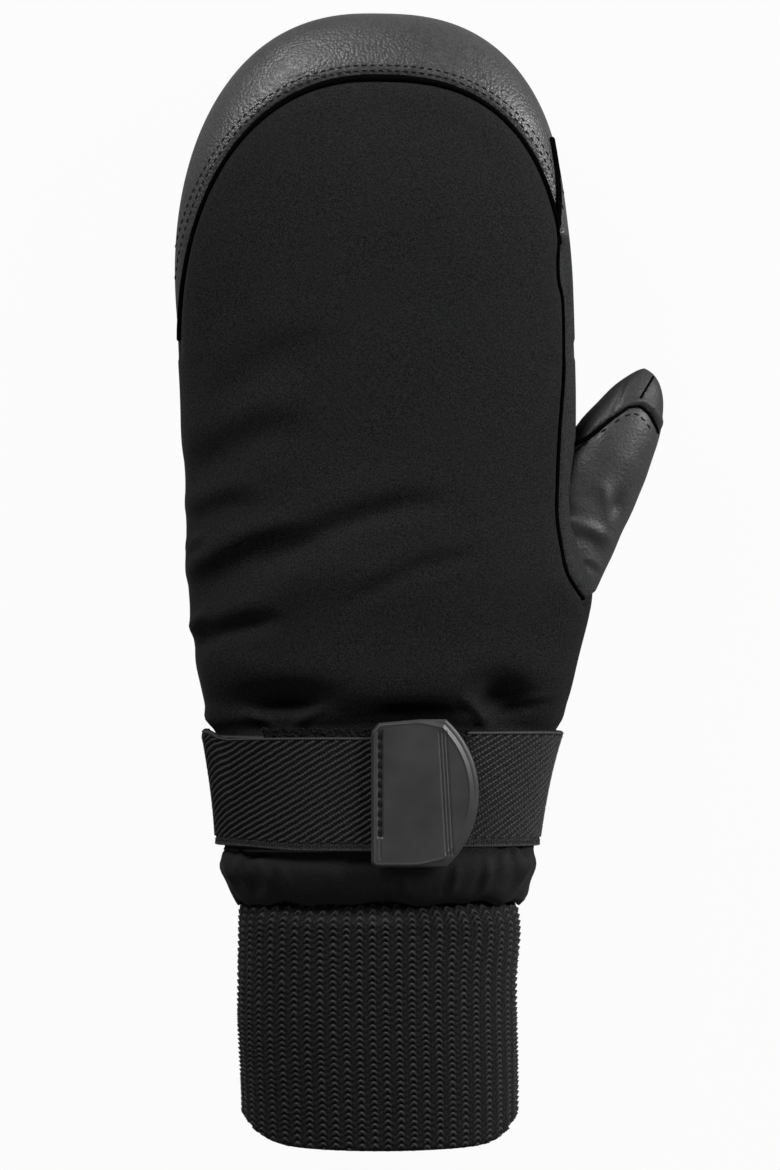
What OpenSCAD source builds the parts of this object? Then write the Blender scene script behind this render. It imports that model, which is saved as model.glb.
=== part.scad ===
// Insulated ski mitten for the left hand, lying palm down.
// Millimetres. +Y points to the fingertips, +X to the thumb, +Z out of the back of the hand.
// The origin is on the resting face of the palm patch.

/* [Hand] */
// Width across the knuckles
knuckle_w = 111; // [96:1:124]
// Thickness at the palm before it flattens
hand_t = 51; // [45:1:57]
// How far the palm is flattened where it rests
palm_flatten = 3; // [2:0.5:4]
// From the origin to the start of the fingertip dome
knuckle_y = 80; // [66:1:94]
// Length of the fingertip dome
dome_len = 79; // [60:1:95]
// How far the side swells out at the thumb root
thumb_bulge = 7; // [4:0.5:9]

/* [Wrist] */
// Width of the hand shell at the upper edge of the strap
wrist_top_w = 93.7; // [84:0.1:102]
// Width of the hand shell at the lower edge of the strap
wrist_low_w = 84.4; // [80:0.1:92]
// Thickness of the hand shell under the strap
wrist_t = 42; // [38:0.5:45]
// Width of the gathered roll below the strap
roll_w = 88.4; // [85:0.1:94]
// From the origin down to the seam with the knit cuff
wrist_len = 90; // [88:1:96]

/* [Layers] */
// Leather and softshell
skin_t = 1.2; // [0.8:0.1:1.6]
// Insulation of the hand
insulation_t = 4; // [2:0.5:5]
// Waterproof membrane
membrane_t = 0.4; // [0.3:0.1:0.6]
// Fleece lining of the hand
lining_t = 2; // [1:0.5:2.5]
// Gap between two layers
layer_gap = 0.1; // [0.08:0.01:0.15]
// Gap between two sewn panels
seam_gap = 0.16; // [0.1:0.02:0.3]
// Radius of the rolled seams
piping_r = 0.9; // [0.6:0.1:1.2]

/* [Palm patch] */
// Thickness
patch_t = 1.4; // [1:0.1:1.8]
// Width
patch_w = 54; // [40:1:60]
// Length
patch_len = 104; // [80:1:110]
// How far its middle lies beyond the origin
patch_forward = 22; // [15:1:25]
// Corner radius
patch_corner = 16; // [8:1:20]

/* [Fingertip cap] */
// Half width of the seam arc
cap_arc_w = 54.5; // [50:0.5:55]
// Height of the seam arc
cap_arc_len = 72.5; // [60:0.5:74]
// From the start of the dome down to the foot of the arc
cap_arc_drop = 12; // [4:1:20]

/* [Thumb] */
// Width seen from above
thumb_w = 26.4; // [24:0.2:29]
// Thickness
thumb_t = 29; // [26:0.5:31]
// Length from its root
thumb_len = 61; // [54:1:68]
// Angle to the hand
thumb_angle = 25; // [20:1:30]
// How far its root lies inside the side of the hand
thumb_inset = 9.4; // [8:0.2:11]
// From the origin up to its root
thumb_root_y = 5; // [2:1:8]
// Height of its middle over the resting face
thumb_z = 17.5; // [16.5:0.5:19]
// Leather
thumb_skin_t = 1; // [0.8:0.1:1.2]
// Insulation
thumb_insulation_t = 2; // [1.5:0.1:2.4]
// Lining
thumb_lining_t = 1.4; // [1:0.1:1.6]
// Clearance between the thumb and the hand
thumb_clear = 0.5; // [0.4:0.1:0.8]
// How far the thumb swings out from the hand, in degrees
thumb_swing = 20; // [10:1:24]
// Thickness of the sleeve that joins the two
sleeve_t = 0.6; // [0.4:0.1:0.8]

/* [Knit cuff] */
// Width
cuff_w = 77.6; // [72:0.2:79]
// Thickness, laid flat
cuff_t = 37.6; // [34:0.2:38]
// Visible length
cuff_len = 69; // [50:1:90]
// Folded double wall
cuff_wall = 3; // [2:0.1:3.4]
// Length sewn inside the hand shell
cuff_tuck = 6; // [4:0.5:6]
// Rounding of the hem corners
hem_round = 9; // [5:0.5:12]

/* [Wrist strap] */
// Webbing width
webbing_w = 32; // [28:0.5:34]
// Webbing thickness
webbing_t = 1.5; // [1:0.1:1.8]
// From the origin down to the middle of the webbing
strap_drop = 57.5; // [56:0.5:59]
// Loop patch thickness
loop_t = 0.8; // [0.6:0.1:1.2]
// How far the loop patch shows beyond each edge of the webbing
loop_show = 0.5; // [0.2:0.1:1]
// Hook patch thickness
hook_t = 1.3; // [1:0.1:1.5]
// Clearance under the free strap
strap_clear = 0.3; // [0.25:0.05:0.5]
// Radius of the back of the wrist under the tab
wrist_arc_r = 140; // [130:1:200]

/* [Pull tab] */
// Width
tab_w = 30; // [26:0.5:33]
// Height
tab_h = 41; // [37:0.5:44]
// Thickness of its plate
tab_t = 1.7; // [1.2:0.1:2.2]
// Height of its raised rim
tab_rim = 0.6; // [0.3:0.1:1]
// Width of its raised rim
tab_rim_w = 1.6; // [1:0.1:2.4]
// Radius of its round side
tab_round_r = 27.6; // [24:0.2:32]
// From the axis of the hand to its straight side
tab_left = 2; // [1:0.5:4]
// How far its middle hangs below the middle of the webbing
tab_sag = 0.7; // [0:0.1:2]
// Width of the sewn strip along its straight side
tab_sewn = 6; // [5:0.5:8]
// Stitches along the sewn strip
stitch_count = 11; // [7:1:14]
// Thread radius
stitch_r = 0.3; // [0.2:0.05:0.35]

/* [Hidden] */

softshell = [0.13, 0.13, 0.14];
leather = [0.24, 0.24, 0.25];
webbing = [0.17, 0.17, 0.17];
rubber = [0.23, 0.23, 0.23];
filling = [0.85, 0.85, 0.82];
fleece = [0.32, 0.33, 0.36];
knit = [0.10, 0.10, 0.10];

// Layers from the outside in
insulation_d = skin_t + layer_gap;
membrane_d = insulation_d + insulation_t + layer_gap;
lining_d = membrane_d + membrane_t + layer_gap;
thumb_insulation_d = thumb_skin_t + layer_gap;
thumb_lining_d = thumb_insulation_d + thumb_insulation_t + layer_gap;
thumb_cavity_d = thumb_lining_d + thumb_lining_t;

// Heights
rest_z = patch_t + layer_gap;
mid_z = rest_z + hand_t / 2 - palm_flatten;

// Places along the hand
strap_top_y = -strap_drop + webbing_w / 2;
strap_low_y = -strap_drop - webbing_w / 2;
roll_y = strap_low_y - 5;
liner_end_y = -wrist_len + cuff_tuck;

// Seen from above: [y, width, middle x] of the hand without the thumb swelling
plan_stations = [
    [-wrist_len, cuff_w + 1.7, 0.3], [liner_end_y, (roll_w + cuff_w) / 2 + 2, 0.2],
    [roll_y, roll_w, 0.2], [strap_low_y, wrist_low_w, 0.9], [strap_top_y, wrist_top_w, 1.7],
    [strap_top_y + 6, wrist_top_w + 4.5, 1.2], [-24, knuckle_w - 9, 0.6], [10, knuckle_w - 4, 0.8],
    [40, knuckle_w - 1.7, 0.1], [knuckle_y, knuckle_w, -1]];
// Seen from the side: [y, thickness]
side_stations = [
    [-wrist_len, cuff_t + 1.6], [liner_end_y, wrist_t + 0.8], [roll_y, wrist_t + 2],
    [strap_low_y, wrist_t], [strap_top_y, wrist_t + 0.6], [strap_top_y + 6, hand_t - 4.5],
    [-24, hand_t - 2], [10, hand_t], [knuckle_y, hand_t - 1.5]];
dome_n = 2.5;
dome_side_n = 2.2;
section_n = 2.3;
bulge_y = thumb_root_y - 7;
bulge_up = 15;
bulge_down = 27;

// Meshes: steps round a section and the places of the rings
around = 28;
around_step = 360 / around;
hand_rings = [strap_low_y, -strap_drop, strap_top_y, strap_top_y + 6, -24, -12, bulge_y, 10, 18, 28,
    knuckle_y];
dome_turns = [14, 28, 41, 53, 64, 74, 83];

function power(v, e) = sign(v) * pow(abs(v), e);

// Smooth curve through rows [y, a, b...], level at the last row
function span_of(rows, y, i = 0) = (i >= len(rows) - 2 || y < rows[i + 1][0]) ? i : span_of(rows, y, i + 1);
function slope_at(rows, k, i) =
    i >= len(rows) - 1 ? 0 :
    i <= 0 ? (rows[1][k] - rows[0][k]) / (rows[1][0] - rows[0][0]) :
    (rows[i + 1][k] - rows[i - 1][k]) / (rows[i + 1][0] - rows[i - 1][0]);
function curve(rows, k, y) =
    let (i = span_of(rows, y), h = rows[i + 1][0] - rows[i][0],
        t = min(1, max(0, (y - rows[i][0]) / h)))
    rows[i][k] * (1 + 2 * t) * (1 - t) * (1 - t) + slope_at(rows, k, i) * h * t * (1 - t) * (1 - t)
    + rows[i + 1][k] * t * t * (3 - 2 * t) + slope_at(rows, k, i + 1) * h * t * t * (t - 1);

// Share of the full size that a dome of length l has left at distance u
function dome(u, l, n) = u <= 0 ? 1 : pow(max(0, 1 - pow(min(1, u / l), n)), 1 / n);

// Hand surface, d below the outside
function bulge(y) = let (u = y - bulge_y) thumb_bulge * exp(-pow(u / (u > 0 ? bulge_up : bulge_down), 2));
function hand_left(y, d) =
    (curve(plan_stations, 1, y) / 2 - curve(plan_stations, 2, y) - d) * dome(y - knuckle_y, dome_len - d, dome_n);
function hand_right(y, d) =
    (curve(plan_stations, 1, y) / 2 + curve(plan_stations, 2, y) + bulge(y) - d)
    * dome(y - knuckle_y, dome_len - d, dome_n);
function hand_half_t(y, d) =
    (curve(side_stations, 1, y) / 2 - d) * dome(y - knuckle_y, dome_len - d, dome_side_n);
function section(left, right, half_t, middle_z, turn) =
    [(cos(turn) > 0 ? right : left) * power(cos(turn), 2 / section_n),
    middle_z + half_t * power(sin(turn), 2 / section_n)];
function hand_point(y, turn, d) =
    let (p = section(hand_left(y, d), hand_right(y, d), hand_half_t(y, d), mid_z, turn))
    [p[0], y, max(p[1], rest_z + d)];
function hand_ring_y(i, start, d) =
    i < len(start) ? start[i] :
    i < len(start) + len(hand_rings) ? hand_rings[i - len(start)] :
    knuckle_y + (dome_len - d) * pow(sin(dome_turns[i - len(start) - len(hand_rings)]), 2 / dome_n);
// Height of the back of the hand over a place in the plan
function back_z(x, y) =
    mid_z + hand_half_t(y, 0)
    * pow(max(0, 1 - pow(min(1, abs(x) / (x > 0 ? hand_right(y, 0) : hand_left(y, 0))), section_n)), 1 / section_n);

// Thumb surface: s runs along the thumb, d below the outside
thumb_root = [curve(plan_stations, 1, thumb_root_y) / 2 + curve(plan_stations, 2, thumb_root_y)
    + bulge(thumb_root_y) - thumb_inset, thumb_root_y];
thumb_turns = [0, 10, 20, 30, 40, 50, 60, 70, 80];
thumb_around = 20;
function thumb_inner(s, d) = (thumb_w / 2 - d) * pow(max(0, 1 - pow(max(0, s) / (thumb_len - d), 2.6)), 0.9);
function thumb_outer(s, d) = (thumb_w / 2 - d) * pow(max(0, 1 - pow(max(0, s) / (thumb_len - d), 4)), 0.45);
function thumb_half_t(s, d) = (thumb_t / 2 - d) * pow(max(0, 1 - pow(max(0, s) / (thumb_len - d), 3)), 0.5);
function thumb_point(s, turn, d) =
    let (p = section(thumb_inner(s, d), thumb_outer(s, d), thumb_half_t(s, d), thumb_z, turn))
    [p[0], s, p[1]];
function thumb_ring_s(i, start, d) = i < len(start) ? start[i] : (thumb_len - d) * sin(thumb_turns[i - len(start)]);

// Sheet between two grids of points. Each grid is a list of rings and tips is [] or the two end points.
module sheet(outer, inner, closed, tips = []) {
    rings = len(outer);
    cols = len(outer[0]);
    steps = closed ? cols : cols - 1;
    count = rings * cols;
    tip_out = 2 * count;
    tip_in = tip_out + 1;
    last = rings - 1;
    function o(i, j) = i * cols + j % cols;
    function n(i, j) = count + i * cols + j % cols;
    function quad(a, b, c, d) = [[a, b, c], [a, c, d]];
    walls = [for (i = [0 : last - 1], j = [0 : steps - 1])
        each concat(quad(o(i, j), o(i, j + 1), o(i + 1, j + 1), o(i + 1, j)),
            quad(n(i, j), n(i + 1, j), n(i + 1, j + 1), n(i, j + 1)))];
    start_edge = [for (j = [0 : steps - 1]) each quad(o(0, j), n(0, j), n(0, j + 1), o(0, j + 1))];
    end_edge = tips == [] ?
        [for (j = [0 : steps - 1]) each quad(o(last, j), o(last, j + 1), n(last, j + 1), n(last, j))] :
        [for (j = [0 : steps - 1]) each [[o(last, j), o(last, j + 1), tip_out], [n(last, j), tip_in, n(last, j + 1)]]];
    sides = closed ? [] : [for (i = [0 : last - 1])
        each concat(quad(o(i, 0), o(i + 1, 0), n(i + 1, 0), n(i, 0)),
            quad(o(i, steps), n(i, steps), n(i + 1, steps), o(i + 1, steps)))];
    tip_sides = closed || tips == [] ? [] :
        concat(quad(o(last, 0), tip_out, tip_in, n(last, 0)), quad(o(last, steps), n(last, steps), tip_in, tip_out));
    polyhedron(points = concat([for (r = outer) each r], [for (r = inner) each r], tips),
        faces = concat(walls, start_edge, end_edge, sides, tip_sides), convexity = 10);
}

// Closed body whose rings end in a tip
module solid(rings, tip) {
    cols = len(rings[0]);
    last = len(rings) - 1;
    function o(i, j) = i * cols + j % cols;
    polyhedron(points = concat([for (r = rings) each r], [tip]),
        faces = concat(
            [for (i = [0 : last - 1], j = [0 : cols - 1])
                each [[o(i, j), o(i, j + 1), o(i + 1, j + 1)], [o(i, j), o(i + 1, j + 1), o(i + 1, j)]]],
            [for (j = [0 : cols - 1]) [o(last, j), o(last, j + 1), len(rings) * cols]],
            [[for (j = [cols - 1 : -1 : 0]) j]]),
        convexity = 10);
}

// Keeps a soft shell and the cuts in it together as one surface
module as_one_mesh() {
    resize([0, 0, 0]) children();
}

// Layer of the hand between two depths, from turn a0 to turn a1
module hand_layer(d0, d1, start, a0 = 0, a1 = 360) {
    whole = a1 - a0 == 360;
    cols = round((a1 - a0) / around_step) - (whole ? 1 : 0);
    rings = len(start) + len(hand_rings) + len(dome_turns);
    function grid(d) = [for (i = [0 : rings - 1])
        [for (j = [0 : cols]) hand_point(hand_ring_y(i, start, d), a0 + j * around_step, d)]];
    sheet(grid(d0), grid(d1), whole,
        [[0, knuckle_y + dome_len - d0, mid_z], [0, knuckle_y + dome_len - d1, mid_z]]);
}
shell_start = [-wrist_len, liner_end_y, roll_y];
liner_start = [liner_end_y, roll_y];
module hand_skin() {
    hand_layer(0, skin_t, shell_start);
}
// Room that the hand takes up, grown by a clearance
module hand_room(grow) {
    rings = len(shell_start) + len(hand_rings) + len(dome_turns);
    solid([for (i = [0 : rings - 1])
        [for (j = [0 : around - 1]) hand_point(hand_ring_y(i, shell_start, -grow), j * around_step, -grow)]],
        [0, knuckle_y + dome_len + grow, mid_z]);
}

// Box over the plan from y0 to y1 and z0 to z1, wider than the mitten
module slab(y0, y1, z0, z1) {
    reach = 2 * knuckle_w;
    translate([-reach / 2, y0, z0]) cube([reach, y1 - y0, z1 - z0]);
}
far = 400;
back_top = mid_z + hand_t;

// Plan inside the seam arc of the fingertip cap, grown by g
arc_y = knuckle_y - cap_arc_drop;
cap_arc_left_n = 2.15;
cap_arc_right_n = 2.6;
function arc_point(a, g = 0) =
    let (n = cos(a) > 0 ? cap_arc_right_n : cap_arc_left_n)
    [-1 + (cap_arc_w + g) * power(cos(a), 2 / n), arc_y + (cap_arc_len + g) * power(sin(a), 2 / n)];
module arc_plan(g) {
    polygon(concat([[far, -far], [far, arc_y], [arc_point(0, g)[0], arc_y]],
        [for (a = [5 : 5 : 175]) arc_point(a, g)],
        [[arc_point(180, g)[0], arc_y], [-far, arc_y], [-far, -far]]));
}

// Seam line between the back and the index side strip, from the cap down to the thumb root
strip_past_knuckles = 16;
strip_top_y = knuckle_y + strip_past_knuckles;
strip_low_y = thumb_root_y - 9.5;
strip_w = 2.4;
function seam_x(y) = hand_right(min(y, knuckle_y), 0) - strip_w
    - thumb_bulge * 0.62 * exp(-pow((y - bulge_y) / 16, 2)) + 1.6 * max(0, 1 - (y - strip_low_y) / 12);
strip_steps = 14;
strip_ys = [for (k = [0 : strip_steps]) strip_low_y + (strip_top_y - strip_low_y) * k / strip_steps];
module strip_plan(g) {
    polygon(concat([for (y = strip_ys) [seam_x(y) + g, y]],
        [[far, strip_top_y], [far, strip_low_y]]));
}
strip_depth = 9;
module strip_room(g) {
    translate([0, 0, mid_z - strip_depth - g]) linear_extrude(far) strip_plan(-g);
}

// Bore of the thumb, run back into the hand
module thumb_place() {
    translate([thumb_root[0], thumb_root[1], 0]) rotate([0, 0, -thumb_angle]) children();
}
bore_back = 12;
module thumb_bore(d) {
    thumb_place()
        solid([for (i = [0 : len(thumb_turns)])
            [for (j = [0 : thumb_around - 1]) thumb_point(thumb_ring_s(i, [-bore_back], d), j * 360 / thumb_around, d)]],
            [0, thumb_len - d, thumb_z]);
}
module opened_for_thumb() {
    difference() {
        children();
        thumb_bore(thumb_cavity_d);
    }
}

// Outer panels of the hand
module back_shell() {
    color(softshell) as_one_mesh() difference() {
        intersection() {
            hand_skin();
            slab(-far, far, mid_z + seam_gap / 2, back_top);
            translate([0, 0, -far]) linear_extrude(2 * far) arc_plan(0);
        }
        strip_room(seam_gap);
        thumb_bore(thumb_cavity_d);
    }
}

module fingertip_cap() {
    color(leather) as_one_mesh() difference() {
        intersection() {
            hand_skin();
            slab(arc_y + seam_gap, far, mid_z + seam_gap / 2, back_top);
        }
        translate([0, 0, -far]) linear_extrude(2 * far) arc_plan(seam_gap);
        strip_room(seam_gap);
        translate([0, arc_y, mid_z]) cube([far, strip_top_y - arc_y + seam_gap, back_top]);
    }
}

module palm_leather() {
    color(leather) as_one_mesh() difference() {
        intersection() {
            hand_skin();
            slab(-far, far, -far, mid_z - seam_gap / 2);
        }
        strip_room(seam_gap);
        thumb_bore(thumb_cavity_d);
    }
}

module index_gusset() {
    color(softshell) as_one_mesh() difference() {
        intersection() {
            hand_skin();
            strip_room(0);
        }
        thumb_bore(thumb_cavity_d);
    }
}

module rounded_plate(w, l, r) {
    square([w - 2 * r, l], center = true);
    square([w, l - 2 * r], center = true);
    for (sx = [-1, 1], sy = [-1, 1])
        translate([sx * (w / 2 - r), sy * (l / 2 - r)]) circle(r, $fn = 48);
}

module palm_patch() {
    color(leather) translate([0, patch_forward, 0]) linear_extrude(patch_t)
        rounded_plate(patch_w, patch_len, patch_corner);
}

// Rolled seam laid on the back of the hand along points of the plan, clear of its flat facets
module piping(path, clear) {
    sides = 6;
    last = len(path) - 1;
    lift = piping_r + clear;
    centre = [for (p = path) [p[0], p[1], back_z(p[0], p[1]) + lift]];
    function along(i) = let (v = centre[min(last, i + 1)] - centre[max(0, i - 1)]) v / norm(v);
    function across(i) = let (v = cross(along(i), [0, 0, 1])) v / norm(v);
    rings = [for (i = [0 : last]) let (u = across(i), w = cross(u, along(i)))
        [for (a = [0 : 360 / sides : 359]) centre[i] + piping_r * (u * cos(a) + w * sin(a))]];
    function o(i, j) = i * sides + j % sides;
    polyhedron(points = [for (r = rings) each r],
        faces = concat(
            [for (i = [0 : last - 1], j = [0 : sides - 1])
                each [[o(i, j), o(i + 1, j + 1), o(i + 1, j)], [o(i, j), o(i, j + 1), o(i + 1, j + 1)]]],
            [[for (j = [sides - 1 : -1 : 0]) o(0, j)], [for (j = [0 : sides - 1]) o(last, j)]]));
}

module cap_piping() {
    color(softshell) piping([for (a = [170 : -5 : 30]) arc_point(a)], layer_gap);
}

module gusset_piping() {
    color(softshell) piping([for (y = strip_ys) [seam_x(y) - piping_r, y]], 4 * layer_gap);
}

// Inner layers of the hand
module back_insulation() {
    color(filling) as_one_mesh() opened_for_thumb()
        hand_layer(insulation_d, insulation_d + insulation_t, liner_start, 0, 180);
}

module palm_insulation() {
    color(filling) as_one_mesh() opened_for_thumb()
        hand_layer(insulation_d, insulation_d + insulation_t, liner_start, 180, 360);
}

module membrane() {
    color([0.6, 0.65, 0.7]) as_one_mesh() opened_for_thumb()
        hand_layer(membrane_d, membrane_d + membrane_t, liner_start);
}

module lining() {
    color(fleece) as_one_mesh() opened_for_thumb()
        hand_layer(lining_d, lining_d + lining_t, liner_start);
}

// Layer of the thumb between two depths, cut clear of the hand over its whole swing
swing_cuts = 4;
module thumb_layer(d0, d1) {
    function grid(d) = [for (i = [0 : len(thumb_turns) - 1])
        [for (j = [0 : thumb_around - 1]) thumb_point(thumb_ring_s(i, [], d), j * 360 / thumb_around, d)]];
    difference() {
        thumb_place() sheet(grid(d0), grid(d1), true, [[0, thumb_len - d0, thumb_z], [0, thumb_len - d1, thumb_z]]);
        for (k = [0 : swing_cuts])
            translate(thumb_root) rotate([0, 0, k * thumb_swing / swing_cuts]) translate(-thumb_root)
                hand_room(thumb_clear);
    }
}

// Plan of the thumb's face panel in the thumb's own frame
module face_plan(g) {
    polygon([[-thumb_w, -far], [-thumb_w, 0.3 * thumb_len - g], [-0.33 * thumb_w, 0.49 * thumb_len - g],
        [-0.1 * thumb_w, 0.73 * thumb_len - g], [0.13 * thumb_w, 0.83 * thumb_len - g],
        [0.39 * thumb_w, 0.775 * thumb_len - g], [thumb_w, 0.62 * thumb_len - g], [thumb_w, -far]]);
}

module thumb_face() {
    color(leather) as_one_mesh() intersection() {
        thumb_layer(0, thumb_skin_t);
        thumb_place() translate([0, 0, thumb_z + seam_gap / 2]) linear_extrude(thumb_t) face_plan(seam_gap);
    }
}

module thumb_back() {
    color(leather) as_one_mesh() difference() {
        intersection() {
            thumb_layer(0, thumb_skin_t);
            slab(-far, far, thumb_z + seam_gap / 2, back_top);
        }
        thumb_place() linear_extrude(far) face_plan(0);
    }
}

module thumb_palm() {
    color(leather) as_one_mesh() intersection() {
        thumb_layer(0, thumb_skin_t);
        slab(-far, far, -far, thumb_z - seam_gap / 2);
    }
}

module thumb_insulation() {
    color(filling) as_one_mesh() thumb_layer(thumb_insulation_d, thumb_insulation_d + thumb_insulation_t);
}

module thumb_lining() {
    color(fleece) as_one_mesh() thumb_layer(thumb_lining_d, thumb_lining_d + thumb_lining_t);
}

// Stretch sleeve inside the bore, across the gap between the thumb and the hand
sleeve_clear = 0.3;
sleeve_back = 2;
module thumb_sleeve() {
    outside = thumb_cavity_d + sleeve_clear;
    reach = 0.46 * thumb_len;
    function grid(d) = [for (s = [-sleeve_back, 0.3 * reach, 0.65 * reach, reach])
        [for (j = [0 : thumb_around - 1]) thumb_point(s, j * 360 / thumb_around, d)]];
    color(fleece) thumb_place() sheet(grid(outside), grid(outside + sleeve_t), true);
}

// Wrist strap: the band is sewn round the shell, the free strap lies over its back
band_d = -layer_gap;
band_out_d = band_d - webbing_t;
loop_d = band_out_d - layer_gap;
loop_out_d = loop_d - loop_t;
module wrist_band(d0, d1, ys, a0, a1) {
    whole = a1 - a0 == 360;
    cols = round((a1 - a0) / around_step) - (whole ? 1 : 0);
    function grid(d) = [for (y = ys) [for (j = [0 : cols]) hand_point(y, a0 + j * around_step, d)]];
    sheet(grid(d1), grid(d0), whole);
}
webbing_ys = [strap_low_y, -strap_drop, strap_top_y];

module strap_base() {
    color(webbing) wrist_band(band_d, band_out_d, webbing_ys, 0, 360);
}

loop_right_turn = 90 - 2 * around_step;
loop_left_turn = 90 + 3 * around_step;
module loop_patch() {
    color(webbing) wrist_band(loop_d, loop_out_d, [strap_low_y - loop_show, -strap_drop, strap_top_y + loop_show],
        loop_right_turn, loop_left_turn);
}

// The sewn start of the free strap at the left edge of the wrist
hinge_turn = 180 - 2 * around_step;
module strap_anchor() {
    color(webbing) wrist_band(loop_d, loop_d - webbing_t, webbing_ys, hinge_turn, 180 + around_step);
}

// Arc over the back of the wrist, its axis along Y
arc_top_z = mid_z + hand_half_t(strap_top_y, loop_out_d) + strap_clear;
arc_axis_z = arc_top_z - wrist_arc_r;
module wrist_arc(level, t) {
    translate([0, 0, arc_axis_z]) rotate([90, 0, 0]) rotate_extrude($fn = 180)
        translate([wrist_arc_r + level, 0]) square([t, far]);
}
module over_plan(level, t, y0, y1) {
    intersection() {
        translate([0, y1, 0]) wrist_arc(level, t);
        translate([0, 0, mid_z]) linear_extrude(far) children();
        slab(y0, y1, mid_z, far);
    }
}

tab_clear = 0.1;
end_gap = 0.6;
strap_end_left = -tab_left + 2 * end_gap;
strap_end_right = -tab_left + tab_sewn;
tab_level = webbing_t + tab_clear;

// Free strap: it rises from its sewn start to its place over the loop patch
span_steps = 9;
module strap_span() {
    x_end = strap_end_left - end_gap;
    first = hinge_turn - 2;
    last = acos(-pow(-x_end / hand_left(-strap_drop, loop_out_d), section_n / 2));
    rise = 1.5 * around_step;
    function turn_of(k) = first + (last - first) * k / span_steps;
    function depth(turn) = loop_d + (loop_out_d - strap_clear - loop_d) * min(1, (hinge_turn - turn) / rise);
    function grid(e) = [for (y = webbing_ys) [for (k = [span_steps : -1 : 0])
        hand_point(y, turn_of(k), depth(turn_of(k)) - e)]];
    color(webbing) sheet(grid(webbing_t), grid(0), false);
}

module strap_end() {
    color(webbing) over_plan(0, webbing_t, strap_low_y, strap_top_y)
        translate([strap_end_left, strap_low_y]) square([strap_end_right - strap_end_left, webbing_w]);
}

// Plan of the tab: straight sewn side on the left, round pulling side on the right
tab_corner = 2;
tab_y = -strap_drop - tab_sag;
module tab_plan(inset) {
    half_h = tab_h / 2 - inset;
    left = -tab_left + inset;
    intersection() {
        translate([0, tab_y]) polygon([[left + tab_corner, half_h], [left, half_h - tab_corner],
            [left, tab_corner - half_h], [left + tab_corner, -half_h], [far, -half_h], [far, half_h]]);
        translate([tab_w - tab_left - tab_round_r, tab_y]) circle(tab_round_r - inset, $fn = 96);
    }
}

groove_w = 0.4;
groove_depth = 0.4;
groove_pitch = 1.2;
groove_in = 9.5;
groove_end = 4;
stitch_x = -tab_left + tab_rim_w + 1.3;
module pull_tab() {
    ends = [tab_y - tab_h, tab_y + tab_h];
    color(rubber) difference() {
        over_plan(tab_level, tab_t + tab_rim, ends[0], ends[1]) tab_plan(0);
        over_plan(tab_level + tab_t, 2 * tab_rim, ends[0], ends[1]) tab_plan(tab_rim_w);
        for (k = [0 : 2])
            over_plan(tab_level + tab_t - groove_depth, 2 * groove_depth, ends[0], ends[1])
                translate([tab_w - tab_left - groove_in + k * groove_pitch, tab_y - tab_h / 2 + groove_end])
                    square([groove_w, tab_h - 2 * groove_end]);
    }
}

module tab_stitches() {
    run = webbing_w - 4;
    pitch = run / stitch_count;
    top = arc_axis_z + sqrt(pow(wrist_arc_r + tab_level + tab_t, 2) - stitch_x * stitch_x);
    color(webbing) for (k = [0 : stitch_count - 1])
        translate([stitch_x, -strap_drop - run / 2 + (k + 0.15) * pitch, top + stitch_r + tab_clear / 2])
            rotate([-90, 0, 0]) cylinder(h = 0.7 * pitch, r = stitch_r, $fn = 16);
}

module hook_patch() {
    color(webbing) over_plan(0, hook_t, strap_low_y, strap_top_y) intersection() {
        tab_plan(2 * tab_rim_w);
        translate([strap_end_right + 1, -far]) square([far, 2 * far]);
    }
}

// Tape over the seam between the shell and the cuff
tape_t = 1.6;
tape_out_d = insulation_d;
tape_in_d = tape_out_d + tape_t;
module cuff_seam_tape() {
    color(softshell) wrist_band(tape_in_d, tape_out_d, [-wrist_len, liner_end_y], 0, 360);
}

// Knit cuff, folded double at the hem and tucked into the shell at the wrist
module knit_cuff() {
    tuck_d = tape_in_d + 3 * seam_gap;
    hem_y = -wrist_len - cuff_len;
    fold = cuff_wall / 3;
    function ring(y, w, t, lift) = [for (j = [0 : around - 1])
        let (turn = j * around_step, p = section(w, w, t, mid_z, turn), u = abs(p[0] / w))
        [p[0], y + lift * (hem_round * pow(u, 8) + 1.5 * u * u), p[1]]];
    function tuck(d) = [for (y = [liner_end_y, -wrist_len])
        ring(y - seam_gap * 2, curve(plan_stations, 1, y) / 2 - tuck_d - d, curve(side_stations, 1, y) / 2 - tuck_d - d, 0)];
    function body(d) = [for (r = [[-wrist_len - 2.5, 0], [-wrist_len - 0.3 * cuff_len, 0],
        [-wrist_len - 0.7 * cuff_len, 0], [hem_y + fold, 1]])
        ring(r[0], cuff_w / 2 - d, cuff_t / 2 - d, r[1])];
    outer = concat(tuck(0), body(0), [ring(hem_y, cuff_w / 2 - fold, cuff_t / 2 - fold, 1)]);
    inner = concat(tuck(cuff_wall), body(cuff_wall), [ring(hem_y, cuff_w / 2 - 2 * fold, cuff_t / 2 - 2 * fold, 1)]);
    color(knit)
        sheet([for (i = [len(outer) - 1 : -1 : 0]) outer[i]], [for (i = [len(inner) - 1 : -1 : 0]) inner[i]], true);
}

back_shell();
fingertip_cap();
palm_leather();
palm_patch();
index_gusset();
cap_piping();
gusset_piping();
back_insulation();
palm_insulation();
membrane();
lining();
thumb_back();
thumb_face();
thumb_palm();
thumb_insulation();
thumb_lining();
thumb_sleeve();
strap_base();
loop_patch();
strap_anchor();
strap_span();
strap_end();
hook_patch();
pull_tab();
tab_stitches();
cuff_seam_tape();
knit_cuff();
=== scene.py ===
"""Insulated ski mitten lying palm down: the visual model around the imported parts.
Lengths are in millimetres until a mesh is made. +Y to the fingertips, +X to the thumb, +Z up."""
import math

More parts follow.
